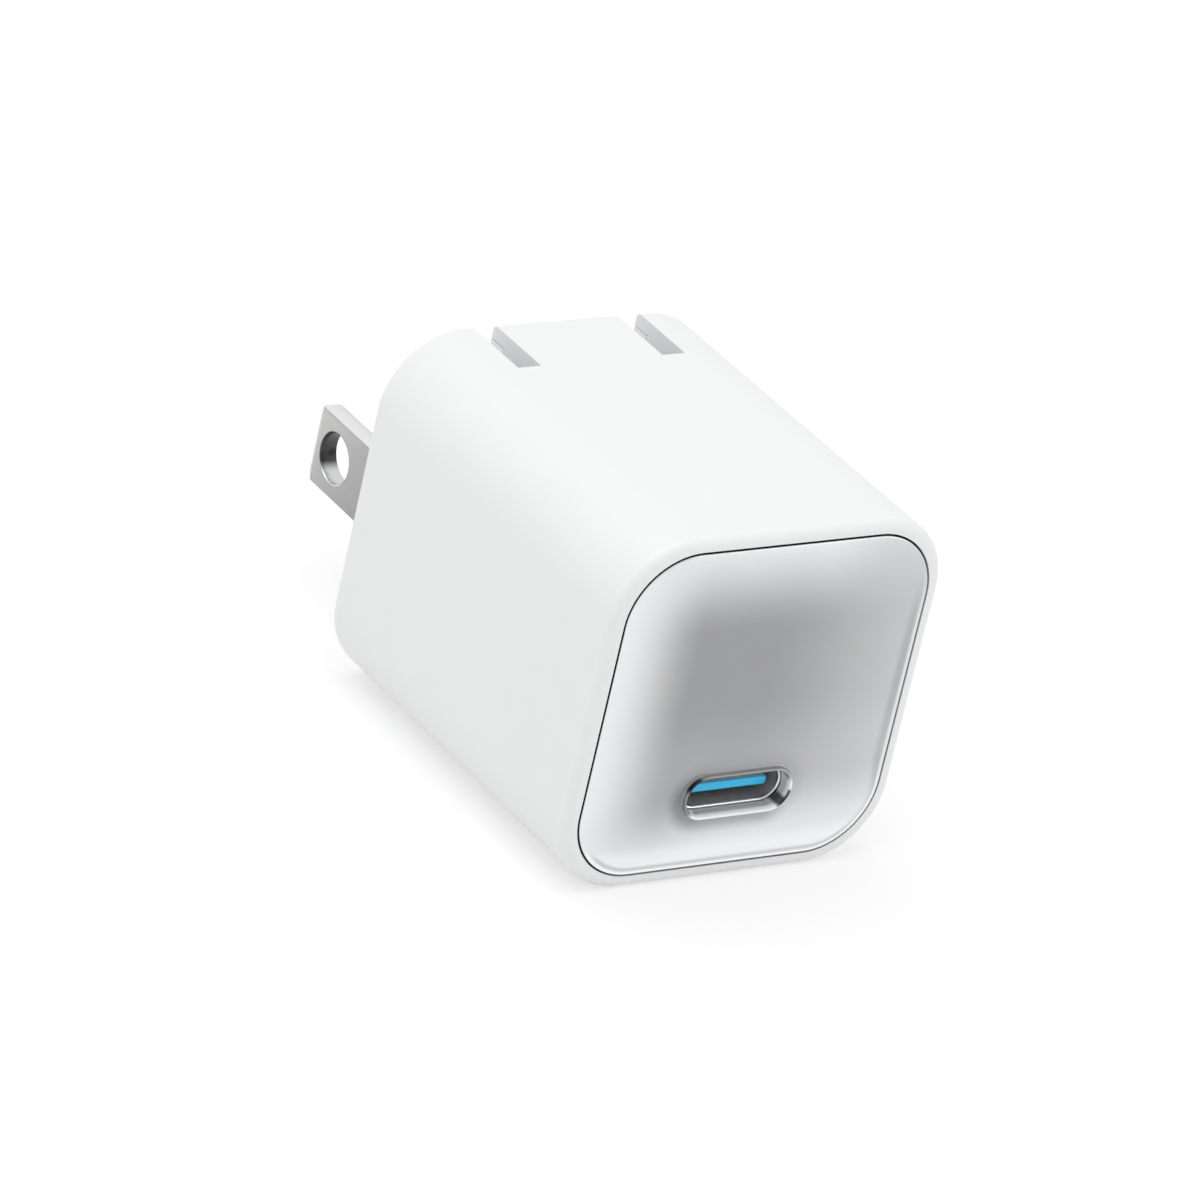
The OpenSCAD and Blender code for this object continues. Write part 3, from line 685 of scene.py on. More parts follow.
@dataclass(frozen=True)
class Laminate:
    """A circuit board: solder mask over copper tracks, with glass cloth in the cut edges."""

    name: str = "board_laminate"
    mask: Colour = (0.012, 0.085, 0.045)
    track: Colour = (0.030, 0.150, 0.075)
    core: Colour = (0.42, 0.40, 0.22)
    tracks: float = 1.25
    track_edge: Fade = Fade(0.34, 0.28)
    field_scale: float = 0.35
    way_choice: Fade = Fade(0.49, 0.51)
    plane_choice: Fade = Fade(0.80, 0.81)
    cloth: Fade = Fade(0.72, 0.80, 0.4)

    def build(self) -> bpy.types.Material:
        """Makes the material.

        Returns:
            The material, with its whole tree.
        """
        shader = Shader(self.name)
        across, along = shader.axis(0) + shader.axis(2), shader.axis(1)
        cells = {"Vector": shader.place, "Scale": self.field_scale, "Randomness": 0.8}
        field = shader.out("ShaderNodeTexVoronoi", {"distance": "CHEBYCHEV"}, cells, output="Color")
        pick = shader.out("ShaderNodeSeparateColor", inputs={0: field}, output=0)
        runs = [
            self.track_edge.of(((way * self.tracks).math("FRACT") - 0.5).math("ABSOLUTE"))
            for way in (across, along)
        ]
        turn = self.way_choice.of(pick)
        track = (runs[0] * turn + runs[1] * (1 - turn)).math("MAXIMUM", self.plane_choice.of(pick))
        face = shader.mix(self.mask, self.track, track)
        dust = shader.noise(6.0, 3.0)
        return shader.finish(
            Base_Color=shader.mix(face, self.core, self.cloth.of(dust)),
            Roughness=dust * 0.12 + 0.24,
            Coat_Weight=0.4,
            Coat_Roughness=0.15,
            Normal=shader.bump(track * 0.7 + dust * 0.3, 0.03),
        )


@dataclass(frozen=True)
class Sleeve:
    """The shrunk film on a capacitor's can, with a pale band down one side and the bare end of the can."""

    name: str = "can_sleeve"
    film: Colour = (0.018, 0.045, 0.150)
    second: Colour = (0.03, 0.07, 0.2)
    band: Colour = (0.55, 0.60, 0.66)
    bare: Colour = (0.76, 0.77, 0.78)

    def build(self) -> bpy.types.Material:
        """Makes the material.

        Returns:
            The material, with its whole tree.
        """
        shader = Shader(self.name)
        wrinkle = shader.noise(1.2, 4.0, (1.0, 0.3, 1.0))
        cloud = shader.noise(0.3, 2.0)
        band = shader.mark(BAND)
        metal = shader.mark(BARE)
        film = shader.mix(shader.mix(self.film, self.second, cloud), self.band, band * 0.9)
        return shader.finish(
            Base_Color=shader.mix(film, self.bare, metal),
            Metallic=metal,
            Roughness=wrinkle * 0.15 + 0.22,
            Coat_Weight=0.3,
            Coat_Roughness=0.1,
            Normal=shader.bump(wrinkle, 0.012),
        )


GREY_STEEL = (0.56, 0.57, 0.58)
FINISHES: tuple[Finish | SatinCoat | NoseBlue | SocketSteel | BladeNickel | Laminate | Sleeve, ...] = (
    Finish("housing_plastic", (0.875, 0.88, 0.885), (0.895, 0.90, 0.905), 0.46, scale=7, depth=0.0012),
    SatinCoat(),
    Finish("adhesive", (0.05, 0.05, 0.052), (0.09, 0.09, 0.09), 0.8, Pattern.SPECKLE, 6, 0.02),
    BladeNickel(),
    Finish("rotor_plastic", (0.78, 0.785, 0.79), (0.83, 0.835, 0.84), 0.45, depth=0.0015),
    Finish("block_plastic", (0.66, 0.61, 0.49), (0.72, 0.67, 0.55), 0.5, depth=0.003),
    Finish(
        "contact_brass", (0.72, 0.49, 0.20), (0.84, 0.62, 0.30), 0.28, Pattern.BRUSHED, 3.0, 0.0010,
        metallic=1.0, stretch=(5.0, 0.6, 0.6),
    ),
    Finish(
        "spring_steel", GREY_STEEL, (0.66, 0.67, 0.68), 0.26, Pattern.BRUSHED, 3.0, 0.0010,
        metallic=1.0, stretch=(0.5, 4.0, 4.0),
    ),
    Finish("frame_plastic", (0.50, 0.52, 0.54), (0.56, 0.58, 0.60), 0.55, depth=0.004),
    SocketSteel(),
    NoseBlue(),
    Laminate(),
    Finish("ferrite", (0.030, 0.030, 0.034), (0.060, 0.060, 0.066), 0.42, Pattern.SPECKLE, 9, 0.008),
    Finish("bobbin_plastic", (0.030, 0.026, 0.024), (0.050, 0.044, 0.040), 0.4, Pattern.FLOW, 3, 0.004),
    Finish(
        "winding_tape", (0.80, 0.55, 0.045), (0.88, 0.64, 0.09), 0.25, Pattern.FLOW, 1.5, 0.012,
        coat=0.5, stretch=(1.0, 1.0, 0.3),
    ),
    Finish(
        "solder_pin", (0.62, 0.62, 0.60), (0.74, 0.74, 0.72), 0.25, Pattern.FLOW, 4, 0.006, metallic=1.0,
    ),
    Sleeve(),
    Finish("bung_rubber", (0.020, 0.020, 0.020), (0.036, 0.036, 0.036), 0.7, scale=5, depth=0.006),
    Finish(
        "can_aluminium", (0.72, 0.73, 0.74), (0.82, 0.83, 0.84), 0.26, Pattern.BRUSHED, 3, 0.0010,
        metallic=1.0, stretch=(0.6, 0.6, 5.0),
    ),
    Finish("film_case", (0.72, 0.50, 0.05), (0.78, 0.57, 0.09), 0.35, scale=6, depth=0.003, coat=0.2),
    Finish("disc_coat", (0.020, 0.110, 0.46), (0.040, 0.160, 0.56), 0.3, Pattern.FLOW, 1.2, 0.03, coat=0.4),
    Finish("choke_coat", (0.030, 0.24, 0.13), (0.050, 0.31, 0.17), 0.4, Pattern.FLOW, 2, 0.02, coat=0.2),
    Finish(
        "choke_copper", (0.58, 0.19, 0.060), (0.72, 0.29, 0.11), 0.22, Pattern.FLOW, 3, 0.004,
        metallic=0.9, coat=0.6,
    ),
    Finish("choke_stand", (0.022, 0.022, 0.024), (0.038, 0.038, 0.040), 0.5, depth=0.004),
    Finish("fuse_case", (0.17, 0.21, 0.07), (0.23, 0.27, 0.10), 0.4, Pattern.FLOW, 3, 0.006, coat=0.3),
    Finish("chip_epoxy", (0.017, 0.017, 0.018), (0.030, 0.030, 0.031), 0.55, Pattern.SPECKLE, 14, 0.004),
    Finish("opto_case", (0.74, 0.74, 0.72), (0.80, 0.80, 0.78), 0.5, depth=0.003),
    Finish("chip_ceramic", (0.42, 0.29, 0.17), (0.50, 0.36, 0.23), 0.42, Pattern.SPECKLE, 12, 0.003),
    Finish("pad_silicone", (0.33, 0.50, 0.66), (0.40, 0.57, 0.72), 0.6, Pattern.WEAVE, 9, 0.012),
    Finish(
        "spreader_copper", (0.72, 0.32, 0.17), (0.82, 0.42, 0.26), 0.27, Pattern.BRUSHED, 3, 0.0012,
        metallic=1.0, stretch=(5.0, 0.4, 5.0),
    ),
)


class Wardrobe:
    """All the materials, by the node that wears them."""

    def __init__(self) -> None:
        """Builds every finish once."""
        self.materials = {finish.name: finish.build() for finish in FINISHES}
        self.slots = {part["node"]: part["material_slot"] for part in frame["record"]["subparts"]}

    def finish(self, node: str) -> bpy.types.Material:
        """A node's finish."""
        return self.materials[self.slots[node]]

    def dress(self, piece: bpy.types.Object, node: str) -> None:
        """Gives a piece one finish all over.

        Args:
            piece: the piece.
            node: the node whose finish it wears.
        """
        piece.data.materials.clear()
        piece.data.materials.append(self.finish(node))


# ---- Mesh making ----


def rounded_outline(width: float, height: float, radius: float, steps: int = 16) -> list[Point]:
    """A rectangle with round corners, centred, counter-clockwise.

    Args:
        width: its size across.
        height: its size upwards.
        radius: its corners' radius.
        steps: how many chords a corner has.

    Returns:
        Its points.
    """
    points = []
    for quarter in range(4):
        side_x = 1 if quarter in (0, 3) else -1
        side_z = 1 if quarter in (0, 1) else -1
        for step in range(steps + 1):
            turn = (quarter + step / steps) * math.pi / 2
            points.append((
                side_x * (width / 2 - radius) + radius * math.cos(turn),
                side_z * (height / 2 - radius) + radius * math.sin(turn),
            ))
    return points


def shifted(points: Sequence[Point], across: float, up: float) -> list[Point]:
    """The same outline, moved."""
    return [(x + across, z + up) for x, z in points]


def circle(radius: float, steps: int = 40) -> list[Point]:
    """A round outline about the origin."""
    turns = [2 * math.pi * i / steps for i in range(steps)]
    return [(radius * math.cos(turn), radius * math.sin(turn)) for turn in turns]


def rolled(steps: int) -> list[Point]:
    """A quarter turn of radius 1, as (1 - cosine, 1 - sine) from (0, 1) to (1, 0)."""
    turns = [step / steps * math.pi / 2 for step in range(steps + 1)]
    return [(1 - math.cos(turn), 1 - math.sin(turn)) for turn in turns]


class MeshMaker:
    """Collects the points and faces of one piece. Outlines lie across Y."""

    def __init__(self) -> None:
        """Starts with nothing."""
        self.points: list[Place] = []
        self.faces: list[Sequence[int]] = []

    def ring(self, outline: Sequence[Point], y: float) -> list[int]:
        """Adds an outline's points.

        Args:
            outline: points across X and Z.
            y: where they lie along Y.

        Returns:
            Their numbers.
        """
        start = len(self.points)
        self.points.extend((x, y, z) for x, z in outline)
        return list(range(start, len(self.points)))

    def band(self, first: Sequence[int], second: Sequence[int]) -> None:
        """Joins two rings by a band of faces.

        Args:
            first: one ring.
            second: the other, with as many points.
        """
        count = len(first)
        for i in range(count):
            j = (i + 1) % count
            self.faces.append((first[i], first[j], second[j], second[i]))

    def loft(self, rings: Sequence[Sequence[int]], closed: bool = False) -> None:
        """Joins rings in order.

        Args:
            rings: the rings.
            closed: True to join the last to the first as well.
        """
        pairs = list(zip(rings, rings[1:]))
        if closed:
            pairs.append((rings[-1], rings[0]))
        for first, second in pairs:
            self.band(first, second)

    def cap(self, ring: Sequence[int]) -> None:
        """Closes a ring with one flat face."""
        self.faces.append(tuple(ring))

    def solid(self, rings: Sequence[Sequence[int]]) -> None:
        """Joins rings in order and closes both ends.

        Args:
            rings: the rings.
        """
        self.loft(rings)
        self.cap(rings[0])
        self.cap(rings[-1])

    def web(self, outer: Sequence[int], inner: Sequence[int]) -> None:
        """Fills the flat room between two rings with triangles.

        Args:
            outer: the ring round it.
            inner: the ring round its hole.
        """
        numbers = [*outer, *inner]
        flat = [Vector((self.points[n][0], self.points[n][2])) for n in numbers]
        first = len(outer)
        edges = [(i, (i + 1) % first) for i in range(first)]
        edges += [(first + i, first + (i + 1) % len(inner)) for i in range(len(inner))]
        hole = set(range(first, len(numbers)))
        _, _, triangles, origins, _, _ = delaunay_2d_cdt(flat, edges, [], 1, WELD_M)
        for triangle in triangles:
            if not all(origins[i][0] in hole for i in triangle):
                self.faces.append(tuple(numbers[origins[i][0]] for i in triangle))

    def build(self, name: str) -> bpy.types.Object:
        """Makes the object, closed and with its faces outwards.

        Args:
            name: the piece's name.

        Returns:
            The new object, smooth shaded.
        """
        mesh = bpy.data.meshes.new(name)
        mesh.from_pydata([tuple(c * MM for c in p) for p in self.points], [], self.faces)
        shell = bmesh.new()
        shell.from_mesh(mesh)
        bmesh.ops.remove_doubles(shell, verts=shell.verts, dist=WELD_M)
        bmesh.ops.recalc_face_normals(shell, faces=shell.faces)
        shell.to_mesh(mesh)
        shell.free()
        return placed(name, mesh)


def linked(name: str, data: bpy.types.ID) -> bpy.types.Object:
    """Puts a mesh, lamp or camera into the scene.

    Args:
        name: the new object's name.
        data: what it shows.

    Returns:
        The new object.
    """
    made = bpy.data.objects.new(name, data)
    bpy.context.scene.collection.objects.link(made)
    return made


def placed(name: str, mesh: bpy.types.Mesh) -> bpy.types.Object:
    """Puts a mesh into the scene as a smooth shaded object."""
    mesh.polygons.foreach_set("use_smooth", [True] * len(mesh.polygons))
    return linked(name, mesh)


def settled(piece: bpy.types.Object) -> bpy.types.Object:
    """Turns an object's modifiers into plain mesh.

    Args:
        piece: the object.

    Returns:
        The same object with its final mesh and no modifier.
    """
    graph = bpy.context.evaluated_depsgraph_get()
    graph.update()
    final = bpy.data.meshes.new_from_object(piece.evaluated_get(graph), depsgraph=graph)
    piece.modifiers.clear()
    old = piece.data
    piece.data = final
    final.name = piece.name
    bpy.data.meshes.remove(old)
    return piece


def eased(piece: bpy.types.Object, width: float, steps: int = 2, angle: float = 35.0) -> bpy.types.Object:
    """Rounds a piece's sharp edges.

    Args:
        piece: the piece.
        width: how far the rounding reaches.
        steps: how many faces it has.
        angle: edges that turn less than this, in degrees, are left.

    Returns:
        The same piece with its final mesh.
    """
    bevel = piece.modifiers.new("ease", "BEVEL")
    bevel.width = width * MM
    bevel.segments = steps
    bevel.limit_method = "ANGLE"
    bevel.angle_limit = math.radians(angle)
    bevel.harden_normals = True
    return settled(piece)


def copied(node: str, name: str) -> bpy.types.Object:
    """Copies a solid's mesh with its triangles joined into whole faces.

    Args:
        node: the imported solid's name.
        name: the new piece's name.

    Returns:
        The new piece.
    """
    mesh = frame["nodes"][node].data.copy()
    mesh.name = name
    shell = bmesh.new()
    shell.from_mesh(mesh)
    bmesh.ops.remove_doubles(shell, verts=shell.verts, dist=WELD_M)
    bmesh.ops.dissolve_limit(shell, angle_limit=FLAT_ANGLE, verts=shell.verts, edges=shell.edges)
    shell.to_mesh(mesh)
    shell.free()
    return placed(name, mesh)


def carved(piece: bpy.types.Object, cutters: Sequence[bpy.types.Object]) -> bpy.types.Object:
    """Takes cutters away from a piece, one after another, and deletes them.

    Args:
        piece: the piece.
        cutters: closed shapes.

    Returns:
        The same piece with its final mesh.
    """
    for cutter in cutters:
        cut = piece.modifiers.new("cut", "BOOLEAN")
        cut.operation = "DIFFERENCE"
        cut.solver = "EXACT"
        cut.object = cutter
    settled(piece)
    for cutter in cutters:
        bpy.data.objects.remove(cutter)
    return piece


def joined(first: bpy.types.Object, others: Sequence[bpy.types.Object]) -> bpy.types.Object:
    """Adds other objects' meshes to the first and deletes them.

    Args:
        first: the object that stays.
        others: the objects that it takes in.

    Returns:
        The first object, smooth shaded.
    """
    shell = bmesh.new()
    for part in (first, *others):
        shell.from_mesh(part.data)
    shell.to_mesh(first.data)
    shell.free()
    for part in others:
        bpy.data.objects.remove(part)
    first.data.polygons.foreach_set("use_smooth", [True] * len(first.data.polygons))
    return first


def block(low: Sequence[float], high: Sequence[float], name: str = "cutter") -> bpy.types.Object:
    """A box, as a cutter or a first shape.

    Args:
        low: its lowest corner.
        high: its highest corner.
        name: its name.

    Returns:
        The new object.
    """
    maker = MeshMaker()
    corners = [(low[0], low[2]), (high[0], low[2]), (high[0], high[2]), (low[0], high[2])]
    maker.solid([maker.ring(corners, y) for y in (low[1], high[1])])
    return maker.build(name)


def turned(profile: Sequence[Point], name: str, hollow: bool = False) -> bpy.types.Object:
    """A round piece about the Y axis.

    Args:
        profile: radius and Y of each ring in order.
        name: the piece's name.
        hollow: True for a ring, whose last station joins the first.

    Returns:
        The piece, closed.
    """
    maker = MeshMaker()
    rings = [maker.ring(circle(radius), y) for radius, y in profile]
    if hollow:
        maker.loft(rings, closed=True)
    else:
        maker.solid(rings)
    return maker.build(name)


def marked(piece: bpy.types.Object, mark: str, rule: Callable[[Vector], bool]) -> bpy.types.Object:
    """Marks the points of a piece for its finish.

    Args:
        piece: the piece.
        mark: the attribute's name.
        rule: says of a place, in millimetres, whether it is marked.

    Returns:
        The same piece.
    """
    layer = piece.data.attributes.new(mark, "FLOAT", "POINT")
    layer.data.foreach_set("value", [float(rule(point.co / MM)) for point in piece.data.vertices])
    return piece


def moved(piece: bpy.types.Object, to: Sequence[float], turn: Matrix | None = None) -> bpy.types.Object:
    """Turns a mesh about the origin and moves it.

    Args:
        piece: the piece.
        to: where its origin goes, in millimetres.
        turn: how it is turned first.

    Returns:
        The same piece, with its place in its mesh.
    """
    piece.data.transform(Matrix.Translation(Vector(to) * MM) @ (turn or Matrix()))
    return piece


def quarter_turn(axis: str, sign: int = 1) -> Matrix:
    """A turn by 90 degrees about an axis."""
    return Matrix.Rotation(sign * math.pi / 2, 4, axis)


def extent(node: str) -> tuple[Vector, Vector, Vector]:
    """A solid's lowest corner, highest corner and middle, in millimetres."""
    low, high = (Vector(corner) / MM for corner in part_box(node))
    return low, high, (low + high) / 2


# ---- Repeated and wound shapes ----


class Growth(Graph):
    """A Geometry Nodes tree with named inputs, which ends in real mesh with its finish."""

    def __init__(self, name: str, inputs: dict[str, float | int]) -> None:
        """Starts the tree.

        Args:
            name: the tree's name.
            inputs: its sizes by name.
        """
        super().__init__(bpy.data.node_groups.new(name, "GeometryNodeTree"))
        panel = self.tree.interface
        for way in ("OUTPUT", "INPUT"):
            panel.new_socket("Geometry", in_out=way, socket_type="NodeSocketGeometry")
        kinds = {"Finish": "NodeSocketMaterial"}
        for label, value in inputs.items():
            kinds[label] = "NodeSocketInt" if isinstance(value, int) else "NodeSocketFloat"
        self.keys = {
            label: panel.new_socket(label, in_out="INPUT", socket_type=kind).identifier
            for label, kind in kinds.items()
        }
        self.source = self.add("NodeGroupInput")

    def __getitem__(self, label: str) -> Wire:
        """One of the tree's inputs."""
        return Wire(self, self.source.outputs[label])

    def close(self, geometry: Wire) -> None:
        """Ends the tree: smooth shaded, instances made real, with the finish.

        Args:
            geometry: what the tree has made.
        """
        smooth = self.out("GeometryNodeSetShadeSmooth", inputs={"Geometry": geometry})
        real = self.out("GeometryNodeRealizeInstances", inputs={0: smooth})
        done = self.out("GeometryNodeSetMaterial", inputs={"Geometry": real, "Material": self["Finish"]})
        self.add("NodeGroupOutput", inputs={0: done})

    def grow(
        self, name: str, finish: bpy.types.Material, sizes: dict[str, float | int],
        seed: bpy.types.Object | None = None,
    ) -> bpy.types.Object:
        """Runs the tree once and keeps the result as plain mesh.

        Args:
            name: the new piece's name.
            finish: its material.
            sizes: the inputs' values, lengths in metres.
            seed: the shape that is repeated, if the tree repeats one; it becomes the piece.

        Returns:
            The piece.
        """
        piece = seed or placed(name, bpy.data.meshes.new(name))
        piece.name = name
        modifier = piece.modifiers.new("growth", "NODES")
        modifier.node_group = self.tree
        for label, value in {**sizes, "Finish": finish}.items():
            modifier[self.keys[label]] = value
        return settled(piece)


def row_growth(paired: bool) -> Growth:
    """A tree that repeats a shape along X.

    Args:
        paired: True to add a second row, turned half round about Y.

    Returns:
        The tree, with the inputs Count and Pitch.
    """
    tree = Growth("paired_rows" if paired else "row", {"Count": 1, "Pitch": 0.001})
    span = (tree["Count"] - 1) * tree["Pitch"]
    start = tree.out("ShaderNodeCombineXYZ", inputs={0: span * -0.5})
    step = tree.out("ShaderNodeCombineXYZ", inputs={0: tree["Pitch"]})
    line = tree.out(
        "GeometryNodeMeshLine", {"mode": "OFFSET"},
        {"Count": tree["Count"], "Start Location": start, "Offset": step},
    )
    row = tree.out("GeometryNodeInstanceOnPoints", inputs={"Points": line, "Instance": tree["Geometry"]})
    if paired:
        other = tree.out("GeometryNodeTransform", inputs={"Geometry": row, "Rotation": (0, math.pi, 0)})
        join = tree.add("GeometryNodeJoinGeometry")
        for part in (row, other):
            tree.tree.links.new(part.socket, join.inputs[0])
        row = Wire(tree, join.outputs[0])
    tree.close(row)
    return tree


def winding_growth(squareness: float = 1.25, wire_sides: int = 8) -> Growth:
    """A tree that winds wire round a bar with round corners: straight along Z, or round a ring about Y.

    Args:
        squareness: how far past round a turn is pressed, from 1.
        wire_sides: how many sides the wire has.

    Returns:
        The tree. Ring is the ring's radius, or 0 for a straight bar; Start and Sweep are angles on the ring.
    """
    lengths = ("Half Width", "Half Depth", "Wire", "Ring", "Start", "Sweep", "Low", "Rise")
    tree = Growth("winding", {"Turns": 1, "Chords": 1, **dict.fromkeys(lengths, 0.0)})
    last = tree["Turns"] * tree["Chords"]
    line = tree.out("GeometryNodeMeshLine", inputs={"Count": last + 1})
    share = tree.out("GeometryNodeInputIndex").math("DIVIDE", last)
    phase = share * tree["Turns"] * (2 * math.pi)
    legs = []
    for wave, half in (("COSINE", "Half Width"), ("SINE", "Half Depth")):
        flat = (phase.math(wave) * squareness).math("MINIMUM", 1.0).math("MAXIMUM", -1.0)
        legs.append(flat * tree[half])
    angle = share * tree["Sweep"] + tree["Start"]
    reach = legs[0] + tree["Ring"]
    round_ring = {0: reach * angle.math("COSINE"), 1: legs[1], 2: reach * angle.math("SINE")}
    along_bar = {0: legs[0], 1: legs[1], 2: share * tree["Rise"] + tree["Low"]}
    bent, straight = (tree.out("ShaderNodeCombineXYZ", inputs=legs) for legs in (round_ring, along_bar))
    place = tree.out(
        "GeometryNodeSwitch", {"input_type": "VECTOR"},
        {"Switch": tree["Ring"].math("GREATER_THAN", 0.0), "False": straight, "True": bent},
    )
    path = tree.out("GeometryNodeSetPosition", inputs={"Geometry": line, "Position": place})
    curve = tree.out("GeometryNodeMeshToCurve", inputs={"Mesh": path})
    section = {"Resolution": wire_sides, "Radius": tree["Wire"]}
    profile = tree.out("GeometryNodeCurvePrimitiveCircle", inputs=section)
    swept = {"Curve": curve, "Profile Curve": profile, "Fill Caps": True}
    tree.close(tree.out("GeometryNodeCurveToMesh", inputs=swept))
    return tree


# ---- Sub-assemblies ----


@dataclass(frozen=True)
class Piece:
    """A finished piece, the node that it stands for and the body that it rides on."""

    made: bpy.types.Object
    node: str
    body: str = FIXED

    def hand_over(self, wardrobe: Wardrobe) -> None:
        """Dresses the piece and lets it ride.

        Args:
            wardrobe: the materials.
        """
        wardrobe.dress(self.made, self.node)
        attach(self.made, self.body)
        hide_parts(self.node)
        LOG.info("%s: %d faces, for %s", self.made.name, len(self.made.data.polygons), self.node)


@dataclass(frozen=True)
class Socketry:
    """The USB-C socket: steel shell and blue tongue."""

    centre: float = 7.3
    width: float = 8.34
    height: float = 2.56
    wall: float = 0.3
    mouth: float = -15.98
    end: float = -8.68
    lip: float = 0.13
    lip_steps: int = 8
    tongue_width: float = 6.69
    tongue_height: float = 0.7
    tongue_tip: float = -15.63
    tongue_ease: float = 0.12
    tongue_steps: int = 4
    base_depth: float = 2.2
    base_gap: float = 0.002
    base_ease: float = 0.03
    tab_width: float = 0.3
    tab_length: float = 0.9
    tab_ease: float = 0.05
    tabs: Point = (-13.23, -10.08)
    tab_low: float = 4.22

    def outline(self, grow: float) -> list[Point]:
        """The socket's opening.

        Args:
            grow: how far it is grown on every side.

        Returns:
            Its points.
        """
        height = self.height + 2 * grow
        flat = rounded_outline(self.width + 2 * grow, height, height / 2 - 0.001)
        return shifted(flat, 0, self.centre)

    def shell(self) -> Piece:
        """Makes the steel shell with its rolled lip and four solder tabs.

        Returns:
            The finished piece.
        """
        maker = MeshMaker()
        stations = [(0.0, self.end), (0.0, self.mouth + self.lip)]
        middle = self.wall / 2
        for step in range(1, self.lip_steps + 1):
            turn = step / self.lip_steps * math.pi
            bulge = self.lip * (1 - math.sin(turn))
            stations.append((middle - middle * math.cos(turn), self.mouth + bulge))
        stations.append((self.wall, self.end))
        maker.loft([maker.ring(self.outline(grow), y) for grow, y in stations], closed=True)
        shell = maker.build("socket_shell")
        tabs = []
        for side in (-1, 1):
            x = side * (self.width + self.wall) / 2
            for y in self.tabs:
                low = (x - self.tab_width / 2, y, self.tab_low)
                high = (x + self.tab_width / 2, y + self.tab_length, self.centre)
                tabs.append(eased(block(low, high, "tab"), self.tab_ease))
        return Piece(joined(shell, tabs), "usb_shell")

    def tongue(self) -> Piece:
        """Makes the blue moulding: a tongue with an eased tip, and its base.

        Returns:
            The finished piece.
        """
        maker = MeshMaker()
        rings = []
        for lift, back in rolled(self.tongue_steps):
            inset = self.tongue_ease * back
            width, height = self.tongue_width - 2 * inset, self.tongue_height - 2 * inset
            flat = rounded_outline(width, height, self.tongue_height / 3 - inset, 8)
            flat = shifted(flat, 0, self.centre)
            rings.append(maker.ring(flat, self.tongue_tip + self.tongue_ease * lift))
        rings.append(maker.ring(flat, self.end - self.base_depth / 2))
        maker.solid(rings)
        base = self.outline(-self.base_gap)
        maker.solid([maker.ring(base, y) for y in (self.end - self.base_depth, self.end)])
        return Piece(eased(maker.build("socket_tongue"), self.base_ease, angle=60), "usb_tongue")


@dataclass(frozen=True)
class Housing:
    """The rounded-square outer shell with its rim, its rear recess and the two slots in its top."""

    width: float = 28.5
    height: float = 28.5
    depth: float = 32.8
    corner: float = 6.2
    wall: float = 1.6
    front_roll: float = 0.8
    rear_roll: float = 0.5
    roll_steps: int = 8
    rim: float = 1.05
    panel_corner: float = 5.5
    pocket: float = 1.15
    front_wall: float = 1.2
    cover_rim: float = 1.1
    cover_depth: float = 1.75
    slot_width: float = 2.0
    slot_depth: float = 6.6
    blade_pitch: float = 12.7
    socket_gap: float = 0.08
    socket_reach: float = 4.0
    ease: float = 0.07

    @property
    def front(self) -> float:
        """Y of the rim plane."""
        return -self.depth / 2

    @property
    def rear(self) -> float:
        """Y of the rear face."""
        return self.depth / 2

    def outline(self, inset: float) -> list[Point]:
        """The body's front outline, taken in by inset on every side."""
        flat = rounded_outline(self.width - 2 * inset, self.height - 2 * inset, self.corner - inset)
        return shifted(flat, 0, self.height / 2)

    def panel_outline(self, inset: float) -> list[Point]:
        """The panel pocket's outline.

        Args:
            inset: how far it is taken in on every side.

        Returns:
            Its points.
        """
        side = self.rim + inset
        flat = rounded_outline(self.width - 2 * side, self.height - 2 * side, self.panel_corner - inset)
        return shifted(flat, 0, self.height / 2)

    def shell(self) -> MeshMaker:
        """The shell before its slots are cut.

        Returns:
            Its points and faces.
        """
        maker = MeshMaker()
        stations = [(self.panel_outline(0), self.front + self.pocket), (self.panel_outline(0), self.front)]
        arc = rolled(self.roll_steps)
        stations += [
            (self.outline(self.front_roll * back), self.front + self.front_roll * lift)
            for lift, back in arc
        ]
        stations += [
            (self.outline(self.rear_roll * back), self.rear - self.rear_roll * lift)
            for lift, back in arc[::-1]
        ]
        ledge = self.rear - self.cover_depth
        inner = self.front + self.pocket + self.front_wall
        stations += [
            (self.outline(self.cover_rim), self.rear), (self.outline(self.cover_rim), ledge),
            (self.outline(self.wall), ledge), (self.outline(self.wall), inner),
        ]
        maker.solid([maker.ring(outline, y) for outline, y in stations])
        return maker

    def build(self, socket: Socketry) -> Piece:
        """Makes the shell with its slots and the hole for the socket.

        Args:
            socket: the sizes of the socket that passes the front wall.

        Returns:
            The finished piece.
        """
        cutters = [
            block(
                (x - self.slot_width / 2, self.rear - self.slot_depth, self.height - 2 * self.wall),
                (x + self.slot_width / 2, self.rear + 1, self.height + 1),
            )
            for x in (-self.blade_pitch / 2, self.blade_pitch / 2)
        ]
        hole = MeshMaker()
        outline = socket.outline(socket.wall + self.socket_gap)
        hole.solid([hole.ring(outline, y) for y in (self.front, self.front + self.socket_reach)])
        cutters.append(hole.build("hole"))
        shell = carved(self.shell().build("outer_shell"), cutters)
        return Piece(eased(shell, self.ease, angle=50), "housing_shell")


